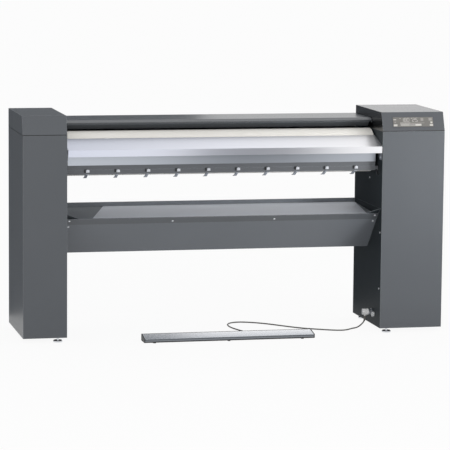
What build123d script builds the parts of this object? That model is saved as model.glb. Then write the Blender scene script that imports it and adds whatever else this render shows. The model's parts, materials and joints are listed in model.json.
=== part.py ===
from build123d import *
import math
import os

# Flatwork ironer: a padded roller between two columns, with a heated bed that swings
# against its front, a feed table, a laundry tray and a foot bar on the floor.
# X runs along the roller, Y from the front to the back, Z up from the floor. The origin is
# the middle of the footprint. Sections are drawn in "station" sizes: y counts back from the
# columns' front plane, z counts up from the columns' lower edge.

os.makedirs("parts", exist_ok=True)

# ---- driving sizes, mm -------------------------------------------------------------------
LEFT_W = 207.0            # left column
RIGHT_W = 307.0           # right column, with the drive
GAP = 1520.0              # clear width between the columns
DEPTH = 482.0             # columns, front to back
COLUMN_H = 1039.0         # columns' casing, without the feet
CAP_H = 89.0              # cap on top of a column
CAP_SETBACK = 35.0        # how far the cap's front leans back
FOOT_H = 22.0             # casing's lower edge above the floor
SKIN = 2.0                # casing sheet
CAP_WALL = 2.5
RETURN = 15.0             # folded edges of the casing panels
PANEL_GAP = 1.0           # seam between casing panels and caps

FRAME_T = 6.0             # side frame plate
FLANGE = 30.0             # its folded edges
FLANGE_T = 4.0
SKID_W = 50.0
SKID_H = 30.0
SKID_WALL = 3.0
FOOT_R = 22.0
FOOT_T = 9.0
FOOT_IN = 40.0            # foot centre from the column's inner face
FOOT_STATIONS = (27.0, DEPTH - 40.0)
STEM_R = 6.0

ROLLER_Y = 205.0
ROLLER_Z = COLUMN_H - 194.0
ROLLER_END = 6.0          # roller end to column
DRUM_R = 95.0
DRUM_WALL = 6.0
PADDING_T = 9.5
CLOTH_T = 2.5
END_DISC = 8.0
END_RECESS = 12.0
SHAFT_R = 17.5
SHAFT_CLEAR = 4.0         # shaft to the frame plate's hole
FIT = 0.05                # radial running fit
BEARING_R = 30.0
BEARING_FLANGE_R = 46.0
BEARING_T = 8.0
BEARING_LEN = 26.0

COVER_T = 2.0
COVER_TOP_Z = ROLLER_Z + 155.0
COVER_EDGE_Y = 212.0      # front edge of the cover's flat top
COVER_NOSE_Y = 193.0
COVER_NOSE_Z = COVER_TOP_Z - 9.0
COVER_BOTTOM_Z = ROLLER_Z - 85.0   # lower edge of its rear wall
COVER_END = 3.5           # cover's end to the column
END_PLATE_T = 2.0

GUARD_Y = 207.0           # finger guard's hinge line
GUARD_Z = COVER_TOP_Z - 15.0
GUARD_BARREL_R = 5.0
GUARD_PIN_R = 3.0
GUARD_T = 2.0
GUARD_TIP_Y = 229.0
GUARD_TIP_Z = GUARD_Z - 27.5
GUARD_END = 12.0          # guard's end to the column
LUG_L = 40.0

TABLE_T = 2.0
TABLE_REAR_Y = 126.0
TABLE_REAR_Z = ROLLER_Z + 76.5
TABLE_FRONT_Y = -5.0
TABLE_FRONT_Z = ROLLER_Z + 34.0
TABLE_LIP = 31.5
TABLE_END = 4.5

BED_GAP = 1.0             # shoe to cloth when closed
SHOE_T = 12.0
SHOE_TOP = 30.0           # wrap above the roller's front, degrees
SHOE_BOTTOM = 50.0        # wrap below it, degrees
SHOE_BARS = 6             # extruded bars side by side, every second one heated
BED_END = 14.0            # bed's end to the column
HEATER_R = 3.8
HEATER_BORE = 4.0
INSULATION_T = 6.0
INSULATION_WRAP = (12.0, -30.0)
CASING_T = 1.5
BEAM_FRONT = 79.0
BEAM_TOP_Z = ROLLER_Z - 45.0
BEAM_CREASE_Z = BEAM_TOP_Z - 20.0
BEAM_BOTTOM_Z = BEAM_TOP_Z - 43.0
STUB_Y = 97.0             # square bar from the beam to the arm
STUB_Z = BEAM_BOTTOM_Z + 11.0
STUB_D = 26.0
STUB_H = 16.0
BED_OPEN = 8.0            # opening angle, degrees
SLOT_CLEAR = 5.0

PIVOT_Y = 235.0
PIVOT_Z = ROLLER_Z - 190.0
PIN_R = 12.0
PIN_HEAD_R = 18.0
HUB_R = 28.0
ARM_T = 10.0
ARM_END_R = 24.0
ARM_CLEAR = 4.0           # arm to frame plate
MODULE = 3.0
SECTOR_TEETH = 100        # as a full wheel
SECTOR_KEPT = 9
SECTOR_T = 8.0
PINION_TEETH = 18
PINION_T = 12.0
PINION_SHAFT_R = 8.0
BACKLASH = 0.25

FINGERS = 10
FINGER_PITCH = 144.7
FINGER_W = 14.0
FINGER_T = 2.5
BOLT_Z = BEAM_CREASE_Z - 5.0
BOLT_PLATE = 17.0
BOLT_PLATE_T = 4.0
BOLT_AF = 10.0
BOLT_HEAD = 5.0

PULLEY_GAP = 76.0         # pulleys beyond the frame plate
PULLEY_W = 18.0
PULLEY_FLANGE = 2.0
DRIVEN_R = 76.4
MOTOR_R = 25.5
DRIVEN_TEETH = 30
MOTOR_TEETH = 10
GROOVE_W = 3.2
GROOVE_DEEP = 1.4
BELT_T = 4.0
BELT_CLEAR = 0.4
MOTOR_Y = DEPTH - 90.0
MOTOR_Z = ROLLER_Z - 245.0
MOTOR_SHAFT_R = 12.0

TRAY_T = 2.0
TRAY_END = 4.0
TRAY_RIM_Y = DEPTH - 16.0
TRAY_RIM_Z = ROLLER_Z - 266.0
TRAY_FLOOR_Z = TRAY_RIM_Z - 20.0   # floor at the rear rim
TRAY_FRONT_FLOOR_Z = TRAY_FLOOR_Z - 18.0
TRAY_LIP_Y = 48.0
TRAY_LIP_Z = TRAY_RIM_Z - 27.0
TRAY_DROP = 183.0         # front panel, down and back at 45 degrees
TRAY_BACK_TURN = 14.0
GUSSET_IN = 60.0          # front corner facet, along the lip
GUSSET_T = 1.5
STRIP_W = 42.0
STRIP_T = 1.5
SLIDE_T = 1.5
MID_SCREW_IN = 513.0      # edge strip's middle screws from the columns
SCREW_R = 4.5
SLIDE_REAR_IN = (250.0, 2.0)    # left and right, at the rear rim
SLIDE_FRONT_IN = (124.0, 46.0)  # left and right, at the front

CROSS_TUBE = 60.0
CROSS_WALL = 3.0
CROSS_Y = DEPTH - 52.0
CROSS_Z = ROLLER_Z + 60.0
LOWER_Y = 260.0
LOWER_Z = TRAY_RIM_Z - 89.0
LOWER_H = 40.0

DISPLAY_W = 199.0
DISPLAY_H = 47.0
DISPLAY_T = 2.5
DISPLAY_IN = 53.0         # display's left edge from the right column's inner face
DISPLAY_UP = 22.0         # its lower edge above the cap's seam, along the slope

BAR_L = 822.0
BAR_AHEAD = 98.0          # foot bar's front edge ahead of the columns
BAR_D = 80.0
BAR_FRONT_Z = 21.0        # heights above the floor
BAR_REAR_Z = 33.0
BAR_SKIRT = 12.0
BAR_T = 2.0
BAR_WALL = 2.0
BAR_CLEAR = 1.2
BAR_END_T = 3.0
BAR_PIVOT = (70.0, 21.0)  # hinge line, back from the front edge and above the floor
BAR_PIN_R = 2.5
EAR_R = 5.5
EAR_T = 3.0
PAD_H = 3.0
PAD_R = 7.0
PAD_X = (-361.0, -4.0, 353.0)

CABLE_R = 3.25
CABLE_Z = 3.6             # centre above the floor
SOCKET_Y = 145.0
SOCKET_Z = 60.0
SOCKET_R = 12.5
SOCKET_L = 19.0
PLUG_R = 15.0
PLUG_L = 29.0

# ---- values that follow ------------------------------------------------------------------
MID = (LEFT_W - RIGHT_W) / 2
FACE = {-1: MID - GAP / 2, 1: MID + GAP / 2}
WIDTH = {-1: LEFT_W, 1: RIGHT_W}
SIDE = {-1: "left", 1: "right"}
FRONT = -(DEPTH - BAR_AHEAD) / 2   # station y = 0 in the model, bar and columns centred
BODY_H = COLUMN_H - CAP_H
PLATE_OUT = SKIN + FRAME_T
PAD_OUT_R = DRUM_R + PADDING_T
CLOTH_R = PAD_OUT_R + CLOTH_T
SHOE_IN_R = CLOTH_R + BED_GAP
SHOE_OUT_R = SHOE_IN_R + SHOE_T
ARM_IN = PLATE_OUT + ARM_CLEAR
SECTOR_R = MODULE * SECTOR_TEETH / 2
PINION_R = MODULE * PINION_TEETH / 2
PINION_Z = PIVOT_Z - SECTOR_R - PINION_R
PULLEY_IN = PLATE_OUT + PULLEY_GAP
BAR_FLOOR = -FOOT_H


# ---- helpers -----------------------------------------------------------------------------
def place(points):
    """Station points (y, z) as points of the model."""
    return [(FRONT + y, FOOT_H + z) for y, z in points]


def prism(points, x0, x1):
    """A station outline drawn along X."""
    outline = make_face(Polyline(*[(x0, y, z) for y, z in place(points)], close=True))
    return extrude(outline, amount=x1 - x0, dir=(1, 0, 0))


def block(x0, x1, y0, y1, z0, z1):
    return prism([(y0, z0), (y1, z0), (y1, z1), (y0, z1)], x0, x1)


def rod(x0, x1, y, z, r):
    (py, pz), = place([(y, z)])
    return Pos((x0 + x1) / 2, py, pz) * Rot(0, 90, 0) * Cylinder(r, abs(x1 - x0))


def post(x, y, z0, z1, r):
    (py, low), = place([(y, z0)])
    return Pos(x, py, low + (z1 - z0) / 2) * Cylinder(r, z1 - z0)


def stud(x, y0, y1, z, r):
    """A round bar along Y."""
    (py, pz), = place([((y0 + y1) / 2, z)])
    return Pos(x, py, pz) * Rot(90, 0, 0) * Cylinder(r, abs(y1 - y0))


def folded(points, t):
    """Outline of a sheet of thickness t on the right of an open station line."""
    normals = []
    for (y0, z0), (y1, z1) in zip(points, points[1:]):
        run = math.hypot(y1 - y0, z1 - z0)
        normals.append(((z1 - z0) / run, -(y1 - y0) / run))
    inner = []
    for i, (y, z) in enumerate(points):
        a = normals[max(i - 1, 0)]
        b = normals[min(i, len(normals) - 1)]
        share = t / (1 + a[0] * b[0] + a[1] * b[1])
        inner.append((y + (a[0] + b[0]) * share, z + (a[1] + b[1]) * share))
    return points + inner[::-1]


def sheet(points, t, x0, x1):
    return prism(folded(points, t), x0, x1)


def into(side, d0, d1):
    """X span between two depths into a column, counted from its inner face."""
    a = FACE[side] + side * d0
    b = FACE[side] + side * d1
    return min(a, b), max(a, b)


def ends(margin):
    """X span between the columns, short of them by a margin."""
    return FACE[-1] + margin, FACE[1] - margin


def on_roller(radius, degrees):
    """Station point at an angle above the roller's front."""
    a = math.radians(degrees)
    return ROLLER_Y - radius * math.cos(a), ROLLER_Z + radius * math.sin(a)


def turned(point, degrees):
    """A station point after the bed has swung open."""
    a = math.radians(degrees)
    dy = point[0] - PIVOT_Y
    dz = point[1] - PIVOT_Z
    return (PIVOT_Y + dy * math.cos(a) - dz * math.sin(a),
            PIVOT_Z + dy * math.sin(a) + dz * math.cos(a))


def roller_arc(r_in, r_out, top, bottom, x0, x1):
    """A curved plate round the roller's front."""
    ring = rod(x0, x1, ROLLER_Y, ROLLER_Z, r_out) - rod(x0, x1, ROLLER_Y, ROLLER_Z, r_in)
    far = 2 * r_out
    middle = (top + bottom) / 2
    wedge = [(ROLLER_Y, ROLLER_Z), on_roller(far, top), on_roller(far, middle),
             on_roller(far, bottom)]
    return ring & prism(wedge, x0, x1)


def hull_prism(circles, x0, x1):
    """Outline round several station circles (y, z, r), drawn along X."""
    rims = []
    for y, z, r in circles:
        rims += Circle(r).moved(Location((FRONT + y, FOOT_H + z))).edges()
    outline = Plane(origin=(x0, 0, 0), x_dir=(0, 1, 0), z_dir=(1, 0, 0)) * make_hull(rims)
    return extrude(outline, amount=x1 - x0, dir=(1, 0, 0))


def group(shapes):
    return Compound(children=[part for shape in shapes for part in shape.solids()])


def save(name, shape):
    export_step(shape, f"parts/{name}.step")


# ---- columns -----------------------------------------------------------------------------
def bed_slot(x0, x1):
    """Opening that the bed's bar swings in."""
    corners = [(STUB_Y + a * (STUB_D / 2), STUB_Z + b * (STUB_H / 2))
               for a in (-1, 1) for b in (-1, 1)]
    swept = corners + [turned(corner, BED_OPEN) for corner in corners]
    return hull_prism([(y, z, SLOT_CLEAR) for y, z in swept], x0, x1)


def beam_holes(x0, x1):
    return (block(x0, x1, CROSS_Y - CROSS_TUBE / 2, CROSS_Y + CROSS_TUBE / 2,
                  CROSS_Z - CROSS_TUBE / 2, CROSS_Z + CROSS_TUBE / 2)
            + block(x0, x1, LOWER_Y - CROSS_TUBE / 2, LOWER_Y + CROSS_TUBE / 2,
                    LOWER_Z - LOWER_H / 2, LOWER_Z + LOWER_H / 2))


def side_frame(side):
    """Upright plate with folded edges, standing on a hollow skid."""
    low, high = into(side, SKIN, PLATE_OUT)
    y0 = SKIN + PANEL_GAP
    y1 = DEPTH - SKIN - PANEL_GAP
    top = BODY_H - PANEL_GAP
    frame = block(low, high, y0, y1, SKID_H, top)
    edge = into(side, PLATE_OUT, PLATE_OUT + FLANGE)
    frame += block(*edge, y0, y0 + FLANGE_T, SKID_H, top)
    frame += block(*edge, y1 - FLANGE_T, y1, SKID_H, top)
    frame += block(*edge, y0, y1, top - FLANGE_T, top)
    skid = into(side, SKIN, SKIN + SKID_W)
    hollow = into(side, SKIN + SKID_WALL, SKIN + SKID_W - SKID_WALL)
    frame += block(*skid, y0, y1, SKIN, SKID_H)
    frame -= block(*hollow, y0, y1, SKIN + SKID_WALL, SKID_H - SKID_WALL)
    frame -= rod(low, high, ROLLER_Y, ROLLER_Z, SHAFT_R + SHAFT_CLEAR)
    frame -= rod(low, high, PIVOT_Y, PIVOT_Z, PIN_R)
    frame -= bed_slot(low, high)
    for y in FOOT_STATIONS:
        frame -= post(FACE[side] + side * FOOT_IN, y, SKIN, SKIN + SKID_WALL, STEM_R)
    if side > 0:
        frame -= rod(low, high, SOCKET_Y, SOCKET_Z, SOCKET_R - 3)
    return frame


def inner_panel(side):
    """Smooth sheet that closes the column towards the roller."""
    span = into(side, 0, SKIN)
    panel = block(*span, SKIN, DEPTH - SKIN, 0, BODY_H - PANEL_GAP)
    panel -= rod(*span, ROLLER_Y, ROLLER_Z, SHAFT_R + SHAFT_CLEAR + SKIN)
    panel -= bed_slot(*span)
    return panel - beam_holes(*span)


def front_panel(side):
    x0, x1 = into(side, 0, WIDTH[side])
    body = block(x0, x1, 0, SKIN, 0, BODY_H - PANEL_GAP)
    edge = into(side, WIDTH[side] - SKIN, WIDTH[side])
    body += block(*edge, SKIN, RETURN, 0, BODY_H - PANEL_GAP)
    corner = body.edges().filter_by(Axis.Z).group_by(Axis.Y)[0].group_by(Axis.X)
    return fillet(corner[-1] if side > 0 else corner[0], SKIN * 0.7)


def outer_panel(side):
    """Outer side sheet with a folded lower edge."""
    span = into(side, WIDTH[side] - SKIN, WIDTH[side])
    lower = into(side, WIDTH[side] - RETURN, WIDTH[side] - SKIN)
    sheet_part = block(*span, RETURN, DEPTH - SKIN, 0, BODY_H - PANEL_GAP)
    return sheet_part + block(*lower, RETURN, DEPTH - SKIN, 0, SKIN)


def rear_panel(side):
    """Rear sheet with two rows of air slots."""
    x0, x1 = into(side, 0, WIDTH[side])
    panel = block(x0, x1, DEPTH - SKIN, DEPTH, 0, BODY_H - PANEL_GAP)
    slot_w = WIDTH[side] * 0.45
    centre = (x0 + x1) / 2
    slots = []
    for row in range(6):
        for z in (90.0 + 18.0 * row, BODY_H - 170.0 + 18.0 * row):
            slots.append(block(centre - slot_w / 2, centre + slot_w / 2, DEPTH - SKIN, DEPTH,
                               z, z + 6))
    return panel - slots


def cap(side):
    """Hollow top of a column, its front leaning back."""
    x0, x1 = into(side, 0, WIDTH[side])
    outside = [(0, BODY_H), (CAP_SETBACK, COLUMN_H), (DEPTH, COLUMN_H), (DEPTH, BODY_H)]
    lean = CAP_SETBACK / CAP_H
    wall = CAP_WALL * math.hypot(1, lean)
    inside = [(wall, BODY_H), (wall + (CAP_H - CAP_WALL) * lean, COLUMN_H - CAP_WALL),
              (DEPTH - CAP_WALL, COLUMN_H - CAP_WALL), (DEPTH - CAP_WALL, BODY_H)]
    body = fillet(prism(outside, x0, x1).edges().filter_by(Axis.X).group_by(Axis.Z)[-1], 2.0)
    return body - prism(inside, x0 + CAP_WALL, x1 - CAP_WALL)


def display_glass():
    """Touch glass on the right cap's leaning front."""
    slope = math.hypot(CAP_SETBACK, CAP_H)
    run = (CAP_SETBACK / slope, CAP_H / slope)
    low = (run[0] * DISPLAY_UP, BODY_H + run[1] * DISPLAY_UP)
    high = (low[0] + run[0] * DISPLAY_H, low[1] + run[1] * DISPLAY_H)
    out = (-run[1] * DISPLAY_T, run[0] * DISPLAY_T)
    outline = [low, high, (high[0] + out[0], high[1] + out[1]), (low[0] + out[0], low[1] + out[1])]
    x0 = FACE[1] + DISPLAY_IN
    return prism(outline, x0, x0 + DISPLAY_W)


def levelling_feet():
    feet = []
    for side in (-1, 1):
        x = FACE[side] + side * FOOT_IN
        for y in FOOT_STATIONS:
            pad = post(x, y, -FOOT_H, -FOOT_H + FOOT_T, FOOT_R)
            pad = chamfer(pad.edges().group_by(Axis.Z)[-1], 3.0)
            feet.append(pad + post(x, y, -FOOT_H + FOOT_T, SKIN + SKID_WALL, STEM_R))
    return group(feet)


def cross_beam(y, z, height):
    x0, x1 = ends(-SKIN)
    w = CROSS_TUBE
    body = block(x0, x1, y - w / 2, y + w / 2, z - height / 2, z + height / 2)
    t = CROSS_WALL
    return body - block(x0, x1, y - w / 2 + t, y + w / 2 - t, z - height / 2 + t, z + height / 2 - t)


# ---- roller and its drive ----------------------------------------------------------------
def roller_drum():
    """Steel tube closed by recessed discs, with a shaft stub at each end."""
    x0, x1 = ends(ROLLER_END)
    drum = rod(x0, x1, ROLLER_Y, ROLLER_Z, DRUM_R)
    drum -= rod(x0, x1, ROLLER_Y, ROLLER_Z, DRUM_R - DRUM_WALL)
    disc = DRUM_R - DRUM_WALL
    drum += rod(x0 + END_RECESS, x0 + END_RECESS + END_DISC, ROLLER_Y, ROLLER_Z, disc)
    drum += rod(x1 - END_RECESS - END_DISC, x1 - END_RECESS, ROLLER_Y, ROLLER_Z, disc)
    left_end = FACE[-1] - PLATE_OUT - BEARING_LEN - 8
    right_end = FACE[1] + PULLEY_IN + PULLEY_W + 4
    drum += rod(left_end, x0 + END_RECESS, ROLLER_Y, ROLLER_Z, SHAFT_R)
    drum += rod(x1 - END_RECESS, right_end, ROLLER_Y, ROLLER_Z, SHAFT_R)
    return drum


def sleeve(r_in, r_out):
    x0, x1 = ends(ROLLER_END)
    return rod(x0, x1, ROLLER_Y, ROLLER_Z, r_out) - rod(x0, x1, ROLLER_Y, ROLLER_Z, r_in)


def roller_bearing(side):
    flange = rod(*into(side, PLATE_OUT, PLATE_OUT + BEARING_T), ROLLER_Y, ROLLER_Z, BEARING_FLANGE_R)
    hub = rod(*into(side, PLATE_OUT + BEARING_T, PLATE_OUT + BEARING_LEN), ROLLER_Y, ROLLER_Z, BEARING_R)
    bore = rod(*into(side, PLATE_OUT, PLATE_OUT + BEARING_LEN), ROLLER_Y, ROLLER_Z, SHAFT_R + FIT)
    return flange + hub - bore


def pulley(y, z, r, teeth):
    """Toothed pulley with two side flanges."""
    x0 = FACE[1] + PULLEY_IN
    x1 = x0 + PULLEY_W
    body = rod(x0 + PULLEY_FLANGE, x1 - PULLEY_FLANGE, y, z, r)
    floor = z + r - GROOVE_DEEP
    narrow = GROOVE_W * 0.35
    groove = prism([(y - narrow, floor), (y + narrow, floor), (y + GROOVE_W / 2, z + r + 1),
                    (y - GROOVE_W / 2, z + r + 1)], x0 + PULLEY_FLANGE, x1 - PULLEY_FLANGE)
    (py, pz), = place([(y, z)])
    axis = Axis((x0, py, pz), (1, 0, 0))
    body -= [groove.rotate(axis, 360.0 * i / teeth) for i in range(teeth)]
    body += rod(x0, x0 + PULLEY_FLANGE, y, z, r + BELT_T / 2)
    return body + rod(x1 - PULLEY_FLANGE, x1, y, z, r + BELT_T / 2)


def roller_pulley():
    x0 = FACE[1] + PULLEY_IN
    wheel = pulley(ROLLER_Y, ROLLER_Z, DRIVEN_R, DRIVEN_TEETH)
    (py, pz), = place([(ROLLER_Y, ROLLER_Z)])
    axis = Axis((x0, py, pz), (1, 0, 0))
    window = rod(x0, x0 + PULLEY_W, ROLLER_Y, ROLLER_Z + DRIVEN_R * 0.6, DRIVEN_R * 0.17)
    wheel -= [window.rotate(axis, 72.0 * i) for i in range(5)]
    return wheel - rod(x0, x0 + PULLEY_W, ROLLER_Y, ROLLER_Z, SHAFT_R)


def motor_pulley():
    """Small pulley with the gear motor's output shaft."""
    x0 = FACE[1] + PULLEY_IN
    shaft = rod(x0 - 34, x0 + PULLEY_W + 4, MOTOR_Y, MOTOR_Z, MOTOR_SHAFT_R)
    return pulley(MOTOR_Y, MOTOR_Z, MOTOR_R, MOTOR_TEETH) + shaft


def drive_belt():
    x0 = FACE[1] + PULLEY_IN + PULLEY_FLANGE + BELT_CLEAR
    x1 = FACE[1] + PULLEY_IN + PULLEY_W - PULLEY_FLANGE - BELT_CLEAR
    r0 = DRIVEN_R + BELT_CLEAR
    r1 = MOTOR_R + BELT_CLEAR
    outer = [(ROLLER_Y, ROLLER_Z, r0 + BELT_T), (MOTOR_Y, MOTOR_Z, r1 + BELT_T)]
    inner = [(ROLLER_Y, ROLLER_Z, r0), (MOTOR_Y, MOTOR_Z, r1)]
    return hull_prism(outer, x0, x1) - hull_prism(inner, x0, x1)


def drive_motor():
    """Worm gearbox on the frame plate, its motor hanging below."""
    deep = PULLEY_GAP - 6
    case = block(*into(1, PLATE_OUT, PLATE_OUT + deep), MOTOR_Y - 48, MOTOR_Y + 48,
                 MOTOR_Z - 50, MOTOR_Z + 50)
    case = fillet(case.edges().filter_by(Axis.X), 12.0)
    x = FACE[1] + PLATE_OUT + deep / 2 + 10
    case += post(x, MOTOR_Y, MOTOR_Z - 62, MOTOR_Z - 50, 38.0)
    case += post(x, MOTOR_Y, MOTOR_Z - 222, MOTOR_Z - 62, 44.0)
    case += post(x, MOTOR_Y, MOTOR_Z - 246, MOTOR_Z - 222, 40.0)
    bore = FACE[1] + PULLEY_IN - 36
    return case - rod(bore, FACE[1] + PULLEY_IN, MOTOR_Y, MOTOR_Z, MOTOR_SHAFT_R + FIT)


# ---- cover and finger guard --------------------------------------------------------------
def roller_cover():
    line = [(DEPTH - 14, COVER_BOTTOM_Z), (DEPTH - 2, COVER_BOTTOM_Z), (DEPTH - 2, COVER_TOP_Z),
            (COVER_EDGE_Y, COVER_TOP_Z), (COVER_NOSE_Y, COVER_NOSE_Z), (COVER_NOSE_Y + 3, COVER_NOSE_Z - 6)]
    return sheet(line[::-1], COVER_T, *ends(COVER_END))


def cover_end_plates():
    """Plates on the inner panels that carry the cover and the guard's pins."""
    t = COVER_T
    outline = [(DEPTH - 2 - t, COVER_BOTTOM_Z + t), (DEPTH - 2 - t, COVER_TOP_Z - t),
               (COVER_EDGE_Y, COVER_TOP_Z - t), (COVER_EDGE_Y - 12, COVER_TOP_Z - t - 6),
               (COVER_EDGE_Y - 12, GUARD_Z - 9), (COVER_EDGE_Y + 10, GUARD_Z - 9),
               (DEPTH - 90, CROSS_Z + 60), (DEPTH - 60, COVER_BOTTOM_Z + t)]
    plates = []
    for side in (-1, 1):
        span = into(side, -END_PLATE_T, 0)
        plate = prism(outline, *span) - beam_holes(*span)
        plates.append(plate - rod(*span, GUARD_Y, GUARD_Z, GUARD_PIN_R))
    return group(plates)


def finger_guard():
    """Hinged strip over the feed mouth, a barrel at each end."""
    x0, x1 = ends(GUARD_END)
    start = (GUARD_Y - 6.0, GUARD_Z - 5.0)
    line = [(GUARD_TIP_Y + 6, GUARD_TIP_Z + 5), (GUARD_TIP_Y, GUARD_TIP_Z), start,
            (GUARD_Y - 4.5, GUARD_Z + 3.0)]
    guard = sheet(line, GUARD_T, x0, x1)
    for a, b in ((x0, x0 + LUG_L), (x1 - LUG_L, x1)):
        guard += rod(a, b, GUARD_Y, GUARD_Z, GUARD_BARREL_R)
        guard += prism([(GUARD_Y - 5.5, GUARD_Z - 4.5), (GUARD_Y - 2, GUARD_Z - 4), (GUARD_Y, GUARD_Z),
                        (GUARD_Y - 4.4, GUARD_Z + 2.5)], a, b)
        guard -= rod(a, b, GUARD_Y, GUARD_Z, GUARD_PIN_R + FIT)
    return guard


def guard_pins():
    pins = []
    for side in (-1, 1):
        pins.append(rod(*into(side, -GUARD_END - LUG_L, 0), GUARD_Y, GUARD_Z, GUARD_PIN_R))
    return group(pins)


def guard_switch():
    """Microswitch under the cover, its roller lever behind the guard."""
    x1 = FACE[1] - GUARD_END - 70
    top = COVER_TOP_Z - COVER_T
    body = block(x1 - 28, x1, GUARD_TIP_Y + 12, GUARD_TIP_Y + 28, top - 20, top)
    return body + block(x1 - 18, x1 - 10, GUARD_TIP_Y + 11, GUARD_TIP_Y + 14, top - 28, top - 12)


# ---- feed table --------------------------------------------------------------------------
def feed_table():
    line = [(TABLE_REAR_Y - 8, TABLE_REAR_Z - 8.5), (TABLE_REAR_Y, TABLE_REAR_Z),
            (TABLE_FRONT_Y, TABLE_FRONT_Z), (TABLE_FRONT_Y, TABLE_FRONT_Z - TABLE_LIP),
            (TABLE_FRONT_Y + 13, TABLE_FRONT_Z - TABLE_LIP)]
    return sheet(line[::-1], TABLE_T, *ends(TABLE_END))


def table_brackets():
    """Angle under each end of the table, bolted to the inner panel."""
    slope = (TABLE_REAR_Z - TABLE_FRONT_Z) / (TABLE_REAR_Y - TABLE_FRONT_Y)

    def under(y, drop):
        return y, TABLE_FRONT_Z + slope * (y - TABLE_FRONT_Y) - TABLE_T * math.hypot(1, slope) - drop

    foot = ROLLER_Z - 33
    shelf = [under(10, 0), under(112, 0), under(112, 2.5), under(10, 2.5)]
    leg = [under(10, 0), under(112, 0), under(112, 30), (50, foot), (14, foot)]
    parts = []
    for side in (-1, 1):
        parts.append(prism(shelf, *into(side, -22, 0)) + prism(leg, *into(side, -2, 0)))
    return group(parts)


# ---- heated bed --------------------------------------------------------------------------
def bar_angle(place_in_row):
    """Angle on the roller at a place in the row of bars, 0 at the shoe's upper edge."""
    return SHOE_TOP - (SHOE_TOP + SHOE_BOTTOM) * place_in_row / SHOE_BARS


def bed_shoe():
    """Extruded bars that wrap the roller's front, every second one bored for a heater rod."""
    x0, x1 = ends(BED_END)
    bars = []
    for i in range(SHOE_BARS):
        bar = roller_arc(SHOE_IN_R, SHOE_OUT_R, bar_angle(i), bar_angle(i + 1), x0, x1)
        if i % 2 == 0:
            bar -= rod(x0, x1, *on_roller(SHOE_IN_R + SHOE_T / 2, bar_angle(i + 0.5)), HEATER_BORE)
        bars.append(bar)
    return group(bars)


def bed_heaters():
    x0, x1 = ends(BED_END - 4)
    radius = SHOE_IN_R + SHOE_T / 2
    return group([rod(x0, x1, *on_roller(radius, bar_angle(i + 0.5)), HEATER_R)
                  for i in range(0, SHOE_BARS, 2)])


def bed_insulation():
    return roller_arc(SHOE_OUT_R, SHOE_OUT_R + INSULATION_T, *INSULATION_WRAP, *ends(BED_END))


def bed_casing():
    """Bright sheet over the bed's front."""
    top = on_roller(SHOE_OUT_R + CASING_T, SHOE_TOP - 1)
    front = BEAM_FRONT - 8
    line = [top, (front + 2, top[1] - 26), (front, top[1] - 52), (front + 4, BEAM_TOP_Z),
            (front + 12, BEAM_TOP_Z)]
    return sheet(line[::-1], CASING_T, *ends(BED_END))


def bed_beam():
    """Dark folded beam under the casing, with the bars that reach the arms."""
    x0, x1 = ends(BED_END)
    outline = [(BEAM_FRONT, BEAM_TOP_Z), (BEAM_FRONT, BEAM_CREASE_Z), (BEAM_FRONT + 1.5, BEAM_CREASE_Z - 2),
               (BEAM_FRONT + 1.5, BEAM_BOTTOM_Z), (BEAM_FRONT + 46, BEAM_BOTTOM_Z),
               (BEAM_FRONT + 21, BEAM_BOTTOM_Z + 21), (BEAM_FRONT + 5, BEAM_BOTTOM_Z + 21),
               (BEAM_FRONT + 5, BEAM_TOP_Z)]
    beam = prism(outline, x0, x1) - rod(x0, x1, ROLLER_Y, ROLLER_Z, SHOE_OUT_R)
    for side in (-1, 1):
        span = into(side, -BED_END, ARM_IN)
        beam += block(*span, STUB_Y - STUB_D / 2, STUB_Y + STUB_D / 2,
                      STUB_Z - STUB_H / 2, STUB_Z + STUB_H / 2)
    return beam


def finger_places():
    first = MID - FINGER_PITCH * (FINGERS - 1) / 2
    return [first + FINGER_PITCH * i for i in range(FINGERS)]


def stripper_fingers():
    """Bent tongues that lead the linen off the roller."""
    low = BEAM_BOTTOM_Z
    line = [(BEAM_FRONT + 5, low), (BEAM_FRONT + 25, low), (BEAM_FRONT + 71, low - 22),
            (BEAM_FRONT + 87, low - 23)]
    half = FINGER_W / 2
    return group([sheet(line, FINGER_T, x - half, x + half) for x in finger_places()])


def stripper_bolts():
    """Square plate and hex bolt over each finger."""
    half = BOLT_PLATE / 2
    face = BEAM_FRONT + 1.5
    (py, pz), = place([(face - BOLT_PLATE_T, BOLT_Z)])
    bolts = []
    for x in finger_places():
        low = BOLT_Z - half
        high = BEAM_CREASE_Z - 2
        plate = block(x - half, x + half, face - BOLT_PLATE_T, face, low, high)
        hexagon = RegularPolygon(BOLT_AF / 2, 6, major_radius=False)
        head = extrude(Plane(origin=(x, py, pz), z_dir=(0, -1, 0)) * hexagon, amount=BOLT_HEAD)
        bolts.append(plate + head)
    return group(bolts)


def bed_arm(side):
    """Arm from the beam's bar to the pivot."""
    span = into(side, ARM_IN, ARM_IN + ARM_T)
    arm = hull_prism([(STUB_Y, STUB_Z, ARM_END_R), (PIVOT_Y, PIVOT_Z, HUB_R)], *span)
    middle = ((STUB_Y + PIVOT_Y) / 2, (STUB_Z + PIVOT_Z) / 2)
    arm -= rod(*span, *middle, ARM_END_R * 0.55)
    arm += rod(*into(side, ARM_IN - 2, ARM_IN), PIVOT_Y, PIVOT_Z, HUB_R * 0.8)
    return arm - rod(*into(side, ARM_IN - 2, ARM_IN + ARM_T), PIVOT_Y, PIVOT_Z, PIN_R + FIT)


def bed_pivot_pins():
    """Fixed pins in the frame plates, with a head outside the arm."""
    pins = []
    for side in (-1, 1):
        out = ARM_IN + ARM_T + (SECTOR_T if side > 0 else 0) + 1
        pin = rod(*into(side, SKIN, out), PIVOT_Y, PIVOT_Z, PIN_R)
        pins.append(pin + rod(*into(side, out, out + 6), PIVOT_Y, PIVOT_Z, PIN_HEAD_R))
    return group(pins)


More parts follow.
